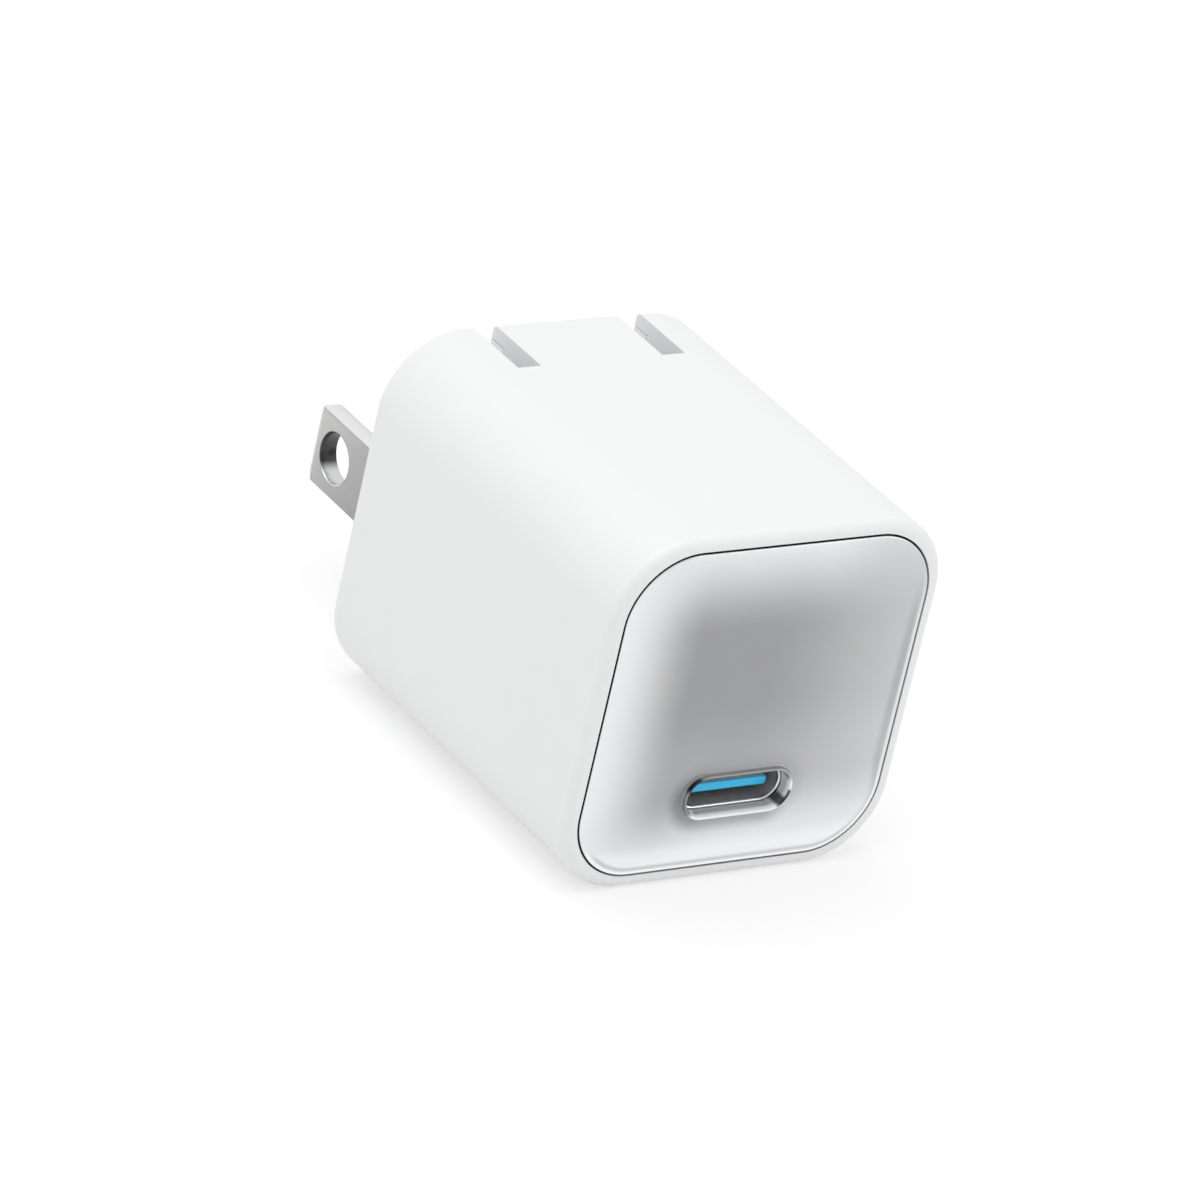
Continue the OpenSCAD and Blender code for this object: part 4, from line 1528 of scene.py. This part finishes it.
@dataclass(frozen=True)
class FrontPanel:
    """The silver front panel: a shallow pillow with a polished collar round the socket."""

    housing: Housing
    socket: Socketry
    gap: float = 0.1
    thickness: float = 1.0
    rise: float = 0.35
    slope: float = 3.4
    slope_steps: int = 24
    edge_roll: float = 0.12
    edge_steps: int = 5
    hole: float = 0.37
    mouth: float = 0.24
    lip_gap: float = 0.05
    collar_wall: float = 0.29
    collar_rise: float = 0.35
    collar_roll: float = 0.12
    collar_steps: int = 8
    throat_roll: Point = (0.17, 0.40)
    fillet: float = 0.20
    sharp: float = 50.0

    def height(self, inset: float) -> float:
        """How far the face stands proud of the rim, at a distance from the outline."""
        share = max(0.0, 1 - inset / self.slope)
        return self.rise * (1 - share * share)

    def collar(self, back: float, surface: float) -> list[Point]:
        """The collar's section, from the panel's back to its face.

        Args:
            back: Y of the panel's back.
            surface: Y of the panel's face.

        Returns:
            Growth over the socket's opening and Y, point by point.
        """
        lip = self.socket.mouth - self.lip_gap
        crest, roll = surface - self.collar_rise, self.collar_roll
        wide, deep = self.throat_roll
        outer = self.mouth + self.collar_wall
        arc = rolled(self.collar_steps)
        section = [(self.hole, back), (self.hole, lip), (self.mouth, lip)]
        section += [(self.mouth + wide * cosine, crest + deep * sine) for cosine, sine in arc]
        section += [(outer - roll * sine, crest + roll * cosine) for cosine, sine in arc]
        section += [(outer + self.fillet * cosine, surface - self.fillet * sine) for cosine, sine in arc]
        return section

    def build(self) -> Piece:
        """Makes the panel.

        Returns:
            The finished piece.
        """
        maker = MeshMaker()
        front, back = self.housing.front, self.housing.front + self.thickness
        stations = [(0.0, back)]
        for cosine, sine in rolled(self.edge_steps):
            inset = self.edge_roll * cosine
            stations.append((inset, front + self.edge_roll * sine - self.height(inset)))
        for step in range(1, self.slope_steps + 1):
            inset = self.edge_roll + (self.slope - self.edge_roll) * step / self.slope_steps
            stations.append((inset, front - self.height(inset)))
        outer = [maker.ring(self.housing.panel_outline(self.gap + inset), y) for inset, y in stations]
        maker.loft(outer)
        section = self.collar(back, front - self.rise)
        inner = [maker.ring(self.socket.outline(grow), y) for grow, y in section]
        maker.loft(inner)
        maker.web(outer[-1], inner[-1])
        maker.web(outer[0], inner[0])
        piece = maker.build("silver_panel")
        piece.data.set_sharp_from_angle(angle=math.radians(self.sharp))
        return Piece(piece, "front_panel")


@dataclass(frozen=True)
class Softened:
    """A solid that keeps its shape and gets its edges rounded."""

    node: str
    name: str
    ease: float
    steps: int = 2
    body: str = FIXED

    def build(self) -> Piece:
        """Makes the piece."""
        return Piece(eased(copied(self.node, self.name), self.ease, self.steps), self.node, self.body)


@dataclass(frozen=True)
class FoldingPlug:
    """The two blades, the carrier that holds them and the cover that they fold into."""

    parts: tuple[Softened, ...] = (
        Softened("blade_left", "nickel_blade_left", 0.08, body=FOLDING),
        Softened("blade_right", "nickel_blade_right", 0.08, body=FOLDING),
        Softened("prong_rotor", "blade_carrier", 0.08, body=FOLDING),
        Softened("rear_cover", "back_cover", 0.07),
    )

    def build(self) -> list[Piece]:
        """Makes the blades, the carrier and the cover."""
        return [part.build() for part in self.parts]


@dataclass(frozen=True)
class Can:
    """An electrolytic capacitor: a crimped can with a scored vent in its closed end.

    The shoulder is given as steps in from the can's radius with their Y, from the vent outwards, and the
    foot as steps in from the radius with their distance from the crimped end.
    """

    node: str
    name: str
    upright: bool
    crimp: float = 1.5
    crimp_depth: float = 0.28
    crimp_spread: float = 0.12
    shoulder: tuple[Point, ...] = (
        (0.45, 0.10), (0.37, 0.06), (0.29, 0.015), (0.22, 0.0), (0.10, 0.05), (0.02, 0.16), (0.0, 0.32),
    )
    foot: tuple[Point, ...] = ((0.0, 0.22), (0.08, 0.06), (0.24, 0.0))
    score: float = 0.06
    score_inset: float = 0.15
    bare_inset: float = 0.21
    bare_depth: float = 0.29
    band_share: float = 0.85
    band_ends: Point = (0.1, 0.3)
    sharp: float = 40.0

    def section(self, radius: float, length: float) -> list[Point]:
        """The can's section, from its closed end at 0 to its crimped end.

        Args:
            radius: the can's radius.
            length: its length.

        Returns:
            Radius and Y, point by point.
        """
        throat = length - self.crimp
        turns = [math.pi * (step / 4 - 1) for step in range(9)]
        groove = [
            (radius - self.crimp_depth * (1 + math.cos(t)) / 2, throat + t * self.crimp_spread)
            for t in turns
        ]
        return [
            *((radius - inset, y) for inset, y in self.shoulder), *groove,
            *((radius - inset, length - back) for inset, back in self.foot),
        ]

    def build(self) -> Piece:
        """Makes the can.

        Returns:
            The finished piece.
        """
        low, high, middle = extent(self.node)
        radius = (high.x - low.x) / 2
        length = high.z - low.z if self.upright else high.y - low.y
        rim, recess = self.shoulder[0]
        reach, depth = radius - rim - self.score_inset, recess + self.score
        cuts = [
            block((-reach, -1, -self.score), (reach, depth, self.score)),
            block((-self.score, -1, -reach), (self.score, depth, reach)),
        ]
        made = carved(turned(self.section(radius, length), self.name), cuts)
        made.data.set_sharp_from_angle(angle=math.radians(self.sharp))
        bare = radius - self.bare_inset
        marked(made, BARE, lambda p: p.y < self.bare_depth and math.hypot(p.x, p.z) < bare)
        first, last = self.band_ends[0], length - self.band_ends[1]
        marked(made, BAND, lambda p: p.x > radius * self.band_share and first < p.y < last)
        if self.upright:
            moved(made, (middle.x, middle.y, high.z), quarter_turn("X", -1))
        else:
            moved(made, (middle.x, low.y, middle.z))
        return Piece(made, self.node)


class Side(Enum):
    """Where a chip's face looks."""

    DOWN = "down"
    LEFT = "left"
    RIGHT = "right"


@dataclass(frozen=True)
class Chip:
    """A moulded chip: a drafted body with a dimple at its first terminal, and two rows of terminals."""

    node: str
    name: str
    out: Side
    count: int
    pitch: float
    lead: float = 0.35
    lead_width: float = 0.32
    lead_ease: float = 0.06
    draft: float = 0.10
    edge: float = 0.05
    parting: float = 0.45
    corner: float = 0.12
    dimple: float = 0.30
    dimple_inset: float = 0.75
    dimple_section: tuple[Point, ...] = ((1.0, 0.0), (0.8, 0.05), (0.3, 0.07))

    def body(self, width: float, across: float, height: float) -> bpy.types.Object:
        """Makes the moulding, with its seat at Y 0 and its face at -height.

        Args:
            width: its size along its rows of terminals.
            across: its size from row to row.
            height: how far it stands off its board.

        Returns:
            The moulding.
        """
        maker = MeshMaker()
        stations = [
            (self.draft, -0.04), (0.0, -height * self.parting), (0.0, -height * 0.5),
            (self.draft, -height + 0.04), (self.draft + self.edge, -height),
        ]
        rings = []
        for inset, y in stations:
            outline = rounded_outline(width - 2 * inset, across - 2 * inset, self.corner, 3)
            rings.append(maker.ring(outline, y))
        maker.loft(rings)
        maker.cap(rings[0])
        centre = (self.dimple_inset - width / 2, across / 2 - self.dimple_inset)
        dip = [
            maker.ring(shifted(circle(self.dimple * share, 16), *centre), y - height)
            for share, y in self.dimple_section
        ]
        maker.web(rings[-1], dip[0])
        maker.loft(dip)
        maker.cap(dip[-1])
        return maker.build(self.name)

    def build(self, wardrobe: Wardrobe, rows: Growth) -> Piece:
        """Makes the chip with its terminals.

        Args:
            wardrobe: the materials.
            rows: the tree that repeats the terminals.

        Returns:
            The finished piece.
        """
        low, high, middle = extent(self.node)
        size = high - low
        if self.out is Side.DOWN:
            width, across, height = size.x, size.y, size.z
            turn, seat = quarter_turn("X"), (middle.x, middle.y, high.z)
        else:
            width, across, height = size.y, size.z, size.x
            rightwards = self.out is Side.RIGHT
            turn = quarter_turn("Z", 1 if rightwards else -1)
            seat = (low.x if rightwards else high.x, middle.y, middle.z)
        inner = across / 2 - self.lead
        half = self.lead_width / 2
        corner = (-half, -height * self.parting, inner - 0.1)
        lead = eased(block(corner, (half, 0.0, across / 2), "lead"), self.lead_ease, angle=50)
        sizes = {"Count": self.count, "Pitch": self.pitch * MM}
        leads = rows.grow(self.name + "_leads", wardrobe.finish(self.node), sizes, lead)
        made = joined(self.body(width, across - 2 * self.lead, height), [leads])
        marked(made, BARE, lambda p: abs(p.z) > inner + 0.01)
        return Piece(moved(made, seat, turn), self.node)


@dataclass(frozen=True)
class ChipRow:
    """A row of small two-terminal parts under the main board."""

    node: str
    name: str
    count: int
    pitch: float
    terminal: float = 0.32
    swell: float = 0.03
    overlap: float = 0.05
    body_ease: float = 0.04
    end_ease: float = 0.06

    def build(self, wardrobe: Wardrobe, row: Growth) -> Piece:
        """Makes the row.

        Args:
            wardrobe: the materials.
            row: the tree that repeats the part.

        Returns:
            The finished piece.
        """
        low, high, middle = extent(self.node)
        half = (high.x - low.x - self.pitch * (self.count - 1)) / 2
        depth, height = (high.y - low.y) / 2, (high.z - low.z) / 2
        inner, thin = half - self.terminal, self.swell
        reach = inner + self.overlap
        body = block((-reach, thin - depth, thin - height), (reach, depth - thin, height - thin), "body")
        ends = [
            eased(block((low_x, -depth, -height), (high_x, depth, height), "end"), self.end_ease, angle=50)
            for low_x, high_x in ((-half, -inner), (inner, half))
        ]
        one = joined(eased(body, self.body_ease, angle=50), ends)
        marked(one, BARE, lambda p: abs(p.x) > inner + 0.06 or abs(p.y) > depth - thin / 2)
        sizes = {"Count": self.count, "Pitch": self.pitch * MM}
        made = row.grow(self.name, wardrobe.finish(self.node), sizes, one)
        return Piece(moved(made, middle), self.node)


@dataclass(frozen=True)
class Contacts:
    """The socket's contact strips, which rise a little behind their tips.

    A station gives its share of the strip's length, of its thickness and of its width.
    """

    node: str = "usb_contacts"
    name: str = "contact_strips"
    count: int = 12
    pitch: float = 0.5
    thickness: float = 0.06
    edge: float = 0.01
    crown: float = 0.7
    stations: tuple[Place, ...] = ((0.0, 0.25, 0.6), (0.03, 0.7, 0.85), (0.10, 1.0, 1.0), (1.0, 1.0, 1.0))

    def build(self, wardrobe: Wardrobe, rows: Growth) -> Piece:
        """Makes the strips on both sides of the tongue.

        Args:
            wardrobe: the materials.
            rows: the tree that repeats a strip.

        Returns:
            The finished piece.
        """
        low, high, middle = extent(self.node)
        half = (high.x - low.x - self.pitch * (self.count - 1)) / 2
        face = high.z - middle.z
        floor = face - self.thickness
        maker = MeshMaker()
        rings = []
        for along, up, side in self.stations:
            top, wide = floor + (face - floor) * up, half * side
            right = [(wide, floor), (wide, top - self.edge), (wide * self.crown, top)]
            outline = [*right, *((-x, z) for x, z in reversed(right))]
            rings.append(maker.ring(outline, low.y + (high.y - low.y) * along))
        maker.solid(rings)
        sizes = {"Count": self.count, "Pitch": self.pitch * MM}
        made = rows.grow(self.name, wardrobe.finish(self.node), sizes, maker.build("strip"))
        return Piece(moved(made, (middle.x, 0, middle.z)), self.node)


@dataclass(frozen=True)
class Coil:
    """A transformer's insulated wire, layer over layer on its bobbin."""

    node: str = "transformer_winding"
    name: str = "transformer_turns"
    wire: float = 0.16
    layers: int = 3
    turns: int = 16
    chords: int = 32

    def build(self, wardrobe: Wardrobe, winding: Growth) -> Piece:
        """Makes the layers.

        Args:
            wardrobe: the materials.
            winding: the tree that winds a wire.

        Returns:
            The finished piece.
        """
        low, high, middle = extent(self.node)
        layers = []
        for layer in range(self.layers):
            back = self.wire * (1 + 2 * layer)
            lengths = {
                "Wire": self.wire, "Half Width": (high.x - low.x) / 2 - back,
                "Half Depth": (high.y - low.y) / 2 - back, "Low": low.z + self.wire - middle.z,
                "Rise": high.z - low.z - 2 * self.wire,
            }
            sizes = {label: length * MM for label, length in lengths.items()}
            sizes |= {"Turns": self.turns, "Chords": self.chords}
            layers.append(winding.grow(f"layer_{layer}", wardrobe.finish(self.node), sizes))
        layers[0].name = self.name
        return Piece(moved(joined(layers[0], layers[1:]), middle), self.node)


@dataclass(frozen=True)
class Choke:
    """A choke: a coated ring with two windings. The sweep of a winding is in degrees."""

    core: str = "choke_core"
    windings: str = "choke_windings"
    hole: float = 1.6
    roll: float = 0.35
    roll_steps: int = 5
    wire: float = 0.13
    turns: int = 11
    chords: int = 32
    sweep: float = 124.0

    def section(self, outer: float, half: float) -> list[Point]:
        """The ring's section with its four corners rolled.

        Args:
            outer: the ring's outer radius.
            half: half its height.

        Returns:
            Radius and Y, point by point.
        """
        corners = ((outer, half), (outer, -half), (self.hole, -half), (self.hole, half))
        ways = ((-1, -1), (-1, 1), (1, 1), (1, -1))
        section = []
        for number, ((radius, y), (in_radius, in_y)) in enumerate(zip(corners, ways)):
            for arc in rolled(self.roll_steps):
                along, out = arc[::-1] if number % 2 else arc
                section.append((radius + in_radius * self.roll * out, y + in_y * self.roll * along))
        return section

    def build(self, wardrobe: Wardrobe, winding: Growth) -> list[Piece]:
        """Makes the ring and its windings.

        Args:
            wardrobe: the materials.
            winding: the tree that winds a wire.

        Returns:
            The finished pieces.
        """
        low, high, middle = extent(self.core)
        outer, half = (high.x - low.x) / 2, (high.y - low.y) / 2
        ring = moved(turned(self.section(outer, half), "choke_ring", hollow=True), middle)
        lengths = {
            "Wire": self.wire, "Half Width": (outer - self.hole) / 2 + self.wire,
            "Half Depth": half + self.wire, "Ring": (outer + self.hole) / 2,
        }
        sizes = {label: length * MM for label, length in lengths.items()}
        sizes |= {"Turns": self.turns, "Chords": self.chords, "Sweep": math.radians(self.sweep)}
        coils = []
        for side, centre in enumerate((0.0, math.pi)):
            sizes["Start"] = centre - sizes["Sweep"] / 2
            coils.append(winding.grow(f"coil_{side}", wardrobe.finish(self.windings), sizes))
        coils[0].name = "choke_coils"
        wound = moved(joined(coils[0], coils[1:]), middle)
        return [Piece(ring, self.core), Piece(wound, self.windings)]


@dataclass(frozen=True)
class Disc:
    """A dipped disc capacitor with its two coated legs.

    The face gives shares of the disc's radius and half thickness from its middle outwards.
    """

    node: str = "disc_capacitor"
    name: str = "dipped_disc"
    face: tuple[Point, ...] = ((0.2, 1.0), (0.55, 0.97))
    rim_depth: float = 0.94
    rim_roll: float = 0.8
    rim_steps: int = 10
    leg_place: float = 1.6
    leg_radii: tuple[float, ...] = (0.18, 0.25, 0.40, 0.50)
    leg_tip: float = 0.1
    leg_flare: float = 0.6

    def section(self, radius: float, half: float) -> list[Point]:
        """The disc's section, from one face round the rim to the other.

        Args:
            radius: the disc's radius.
            half: half its thickness.

        Returns:
            Radius and Y, point by point.
        """
        face = [(radius * reach, half * depth) for reach, depth in self.face]
        turns = [math.pi * (step / self.rim_steps - 0.5) for step in range(self.rim_steps + 1)]
        rim = [
            (radius - half * self.rim_roll * (1 - math.cos(turn)), half * self.rim_depth * math.sin(turn))
            for turn in turns
        ]
        return [*((reach, -depth) for reach, depth in face), *rim, *face[::-1]]

    def build(self) -> Piece:
        """Makes the disc and its legs.

        Returns:
            The finished piece.
        """
        low, high, middle = extent(self.node)
        radius, half = (high.y - low.y) / 2, (high.x - low.x) / 2
        centre = (middle.x, middle.y, high.z - radius)
        disc = moved(turned(self.section(radius, half), self.name), centre, quarter_turn("Z", -1))
        height = centre[2] - low.z - radius * self.leg_flare
        profile = list(zip(self.leg_radii, (0.0, self.leg_tip, height * self.leg_flare, height)))
        legs = []
        for side in (-1, 1):
            foot = (middle.x, middle.y + side * self.leg_place, low.z)
            legs.append(moved(turned(profile, "leg"), foot, quarter_turn("X")))
        return Piece(joined(disc, legs), self.node)


@dataclass(frozen=True)
class Fuse:
    """The upright fuse: a body between two crimped metal caps.

    The cap gives steps in from the fuse's radius, with their distance from its end.
    """

    node: str = "fuse"
    name: str = "fuse_tube"
    cap: tuple[Point, ...] = ((0.15, 0.0), (0.04, 0.05), (0.0, 0.18), (0.0, 1.2), (0.10, 1.3))
    margin: float = 0.05

    def build(self) -> Piece:
        """Makes the fuse.

        Returns:
            The finished piece.
        """
        low, high, middle = extent(self.node)
        radius, length = (high.x - low.x) / 2, high.z - low.z
        end = [(radius - inset, y) for inset, y in self.cap]
        section = [*end, *((reach, length - y) for reach, y in reversed(end))]
        bare = self.cap[-1][1] - self.margin
        made = marked(turned(section, self.name), BARE, lambda p: not bare < p.y < length - bare)
        return Piece(moved(made, (middle.x, middle.y, low.z), quarter_turn("X")), self.node)


@dataclass(frozen=True)
class Inside:
    """Everything in the sealed body: transformer, choke, capacitors, chips, socket contacts and frames."""

    softened: tuple[Softened, ...] = (
        Softened("panel_adhesive", "adhesive_sheet", 0.04),
        Softened("contact_block", "mains_contact_block", 0.12),
        Softened("contact_spring_left", "mains_contact_left", 0.05),
        Softened("contact_spring_right", "mains_contact_right", 0.05),
        Softened("detent_spring", "detent_leaf", 0.04),
        Softened("inner_frame", "support_frame", 0.12),
        Softened("main_board", "lower_board", 0.05),
        Softened("control_board", "upright_board", 0.08),
        Softened("transformer_core_lower", "ferrite_lower", 0.18, 3),
        Softened("transformer_core_upper", "ferrite_upper", 0.18, 3),
        Softened("transformer_bobbin", "bobbin", 0.10),
        Softened("transformer_pins", "bobbin_pins", 0.08),
        Softened("component_pins", "part_pins", 0.06),
        Softened("capacitor_leads", "tinned_leads", 0.05),
        Softened("capacitor_bungs", "rubber_bungs", 0.22, 3),
        Softened("film_capacitor", "boxed_film_capacitor", 0.35, 4),
        Softened("choke_base", "choke_cradle", 0.15),
        Softened("thermal_pad", "gap_pad", 0.12, 3),
        Softened("heat_spreader", "copper_plate", 0.10),
    )
    cans: tuple[Can, ...] = (
        Can("bulk_capacitor_left", "bulk_can_left", False),
        Can("bulk_capacitor_right", "bulk_can_right", False),
        Can("input_capacitor", "input_can", True),
        Can("output_capacitor", "output_can", True),
    )
    chips: tuple[Chip, ...] = (
        Chip("power_chip", "switching_chip", Side.RIGHT, 9, 0.6),
        Chip("bridge_rectifier", "bridge_chip", Side.LEFT, 2, 2.6, lead_width=0.7),
        Chip("rectifier_chip", "output_chip", Side.DOWN, 4, 1.27, lead_width=0.42),
        Chip("pd_controller", "port_chip", Side.DOWN, 6, 0.5, lead=0.22, lead_width=0.24),
        Chip("optocoupler", "isolator_chip", Side.DOWN, 2, 2.54, lead=0.5, lead_width=0.5),
    )
    chip_rows: tuple[ChipRow, ...] = (
        ChipRow("chip_capacitors", "ceramic_capacitors", 4, 2.0),
        ChipRow("chip_resistors", "film_resistors", 5, 2.2, terminal=0.28),
    )
    contacts: Contacts = Contacts()
    coil: Coil = Coil()
    choke: Choke = Choke()
    disc: Disc = Disc()
    fuse: Fuse = Fuse()

    def build(self, wardrobe: Wardrobe) -> list[Piece]:
        """Makes every inside piece.

        Args:
            wardrobe: the materials.

        Returns:
            The finished pieces.
        """
        rows, row, winding = row_growth(True), row_growth(False), winding_growth()
        pieces = [part.build() for part in (*self.softened, *self.cans)]
        pieces += [chip.build(wardrobe, rows) for chip in self.chips]
        pieces += [parts.build(wardrobe, row) for parts in self.chip_rows]
        pieces += [self.contacts.build(wardrobe, rows), self.coil.build(wardrobe, winding)]
        pieces += [*self.choke.build(wardrobe, winding), self.disc.build(), self.fuse.build()]
        return pieces


# ---- Studio ----


@dataclass(frozen=True)
class Lamp:
    """A soft square lamp, with its place and side in metres and its power in watts."""

    name: str
    place: Place
    side: float
    power: float

    def build(self, aim: Vector) -> None:
        """Hangs the lamp and turns it to a point.

        Args:
            aim: the point, in metres.
        """
        light = bpy.data.lights.new(self.name, "AREA")
        light.shape = "SQUARE"
        light.size = self.side
        light.energy = self.power
        lamp = linked(self.name, light)
        lamp.location = self.place
        lamp.rotation_euler = (aim - Vector(self.place)).to_track_quat("-Z", "Y").to_euler()


@dataclass(frozen=True)
class Studio:
    """Camera, lamps, sky and floor."""

    azimuth: float = -38.332
    elevation: float = 26.373
    roll: float = 13.136
    distance: float = 589.86
    shift: Point = (-2.4056, -0.3352)
    focal_px: float = 8108.32
    image_px: float = 1200.0
    aim_up: float = 14.25
    sensor: float = 36.0
    nearest_m: float = 0.01
    lamps: tuple[Lamp, ...] = (
        Lamp("top_lamp", (-0.20, 0.05, 0.95), 0.80, 4.4),
        Lamp("front_lamp", (0.78, -0.68, 0.03), 0.60, 2.0),
    )
    sky: float = 0.66
    floor_side_m: float = 4.0
    paper: tuple[Colour, Colour] = ((0.90, 0.90, 0.90), (0.92, 0.92, 0.92))
    veil: float = 0.42
    glow: float = 0.60

    def camera(self) -> None:
        """Places the camera and makes it the scene's."""
        turn, rise, roll = (math.radians(a) for a in (self.azimuth, self.elevation, self.roll))
        back = Vector((math.sin(turn) * math.cos(rise), -math.cos(turn) * math.cos(rise), math.sin(rise)))
        right = (-back).cross(Vector((0, 0, 1))).normalized()
        up = right.cross(-back)
        right, up = (
            right * math.cos(roll) + up * math.sin(roll),
            up * math.cos(roll) - right * math.sin(roll),
        )
        place = back * self.distance + right * self.shift[0] + up * self.shift[1]
        place.z += self.aim_up
        lens = bpy.data.cameras.new("camera")
        lens.sensor_fit = "HORIZONTAL"
        lens.sensor_width = self.sensor
        lens.lens = self.sensor * self.focal_px / self.image_px
        lens.clip_start = self.nearest_m
        camera = linked("camera", lens)
        matrix = Matrix((right, up, back)).transposed().to_4x4()
        matrix.translation = place * MM
        camera.matrix_world = matrix
        bpy.context.scene.camera = camera

    def world(self) -> None:
        """Makes an even pale sky."""
        world = bpy.data.worlds.new("sky")
        world.use_nodes = True
        graph = Graph(world.node_tree)
        sky = graph.out("ShaderNodeBackground", inputs={"Color": (1, 1, 1, 1), "Strength": self.sky})
        graph.add("ShaderNodeOutputWorld", inputs={"Surface": sky})
        bpy.context.scene.world = world

    def floor(self) -> None:
        """Lays a plain pale floor that keeps the object's shadow."""
        half = self.floor_side_m / 2
        mesh = bpy.data.meshes.new("floor")
        corners = [(-half, -half, 0), (half, -half, 0), (half, half, 0), (-half, half, 0)]
        mesh.from_pydata(corners, [], [(0, 1, 2, 3)])
        floor = placed("floor", mesh)
        shader = Shader("floor_paper")
        tone = shader.mix(*self.paper, shader.noise(0.02, 2.0))
        paper = shader.out("ShaderNodeBsdfDiffuse", inputs={"Color": tone})
        veil = shader.out("ShaderNodeBsdfDiffuse", inputs={"Color": (*(self.veil,) * 3, 1)})
        glow = shader.out("ShaderNodeEmission", inputs={"Color": (1, 1, 1, 1), "Strength": self.glow})
        seen = shader.out("ShaderNodeAddShader", inputs={0: veil, 1: glow})
        path = shader.add("ShaderNodeLightPath")
        kinds = ("Camera", "Glossy", "Transmission")
        rays = [Wire(shader, path.outputs[f"Is {kind} Ray"]) for kind in kinds]
        direct = rays[0].math("MAXIMUM", rays[1]).math("MAXIMUM", rays[2])
        surface = shader.out("ShaderNodeMixShader", inputs={0: direct, 1: paper, 2: seen})
        shader.add("ShaderNodeOutputMaterial", inputs={"Surface": surface})
        floor.data.materials.append(shader.material)

    def build(self) -> None:
        """Sets the whole studio."""
        bpy.context.scene.view_settings.view_transform = "Standard"
        self.camera()
        self.world()
        for lamp in self.lamps:
            lamp.build(Vector((0, 0, self.aim_up * MM)))
        self.floor()


# ---- The whole adapter ----


def dress_solids(wardrobe: Wardrobe) -> None:
    """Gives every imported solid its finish.

    Args:
        wardrobe: the materials.
    """
    for name, solid in frame["nodes"].items():
        wardrobe.dress(solid, name)
        LOG.info("%s: %s", name, wardrobe.slots[name])


def main() -> None:
    """Builds, dresses and hands over every piece."""
    logging.basicConfig(level=logging.INFO, format="%(name)s: %(message)s")
    wardrobe = Wardrobe()
    dress_solids(wardrobe)
    socket, housing = Socketry(), Housing()
    pieces = [
        housing.build(socket),
        FrontPanel(housing, socket).build(),
        socket.shell(),
        socket.tongue(),
        *FoldingPlug().build(),
        *Inside().build(wardrobe),
    ]
    for piece in pieces:
        piece.hand_over(wardrobe)
    Studio().build()


if __name__ == "__main__":
    main()
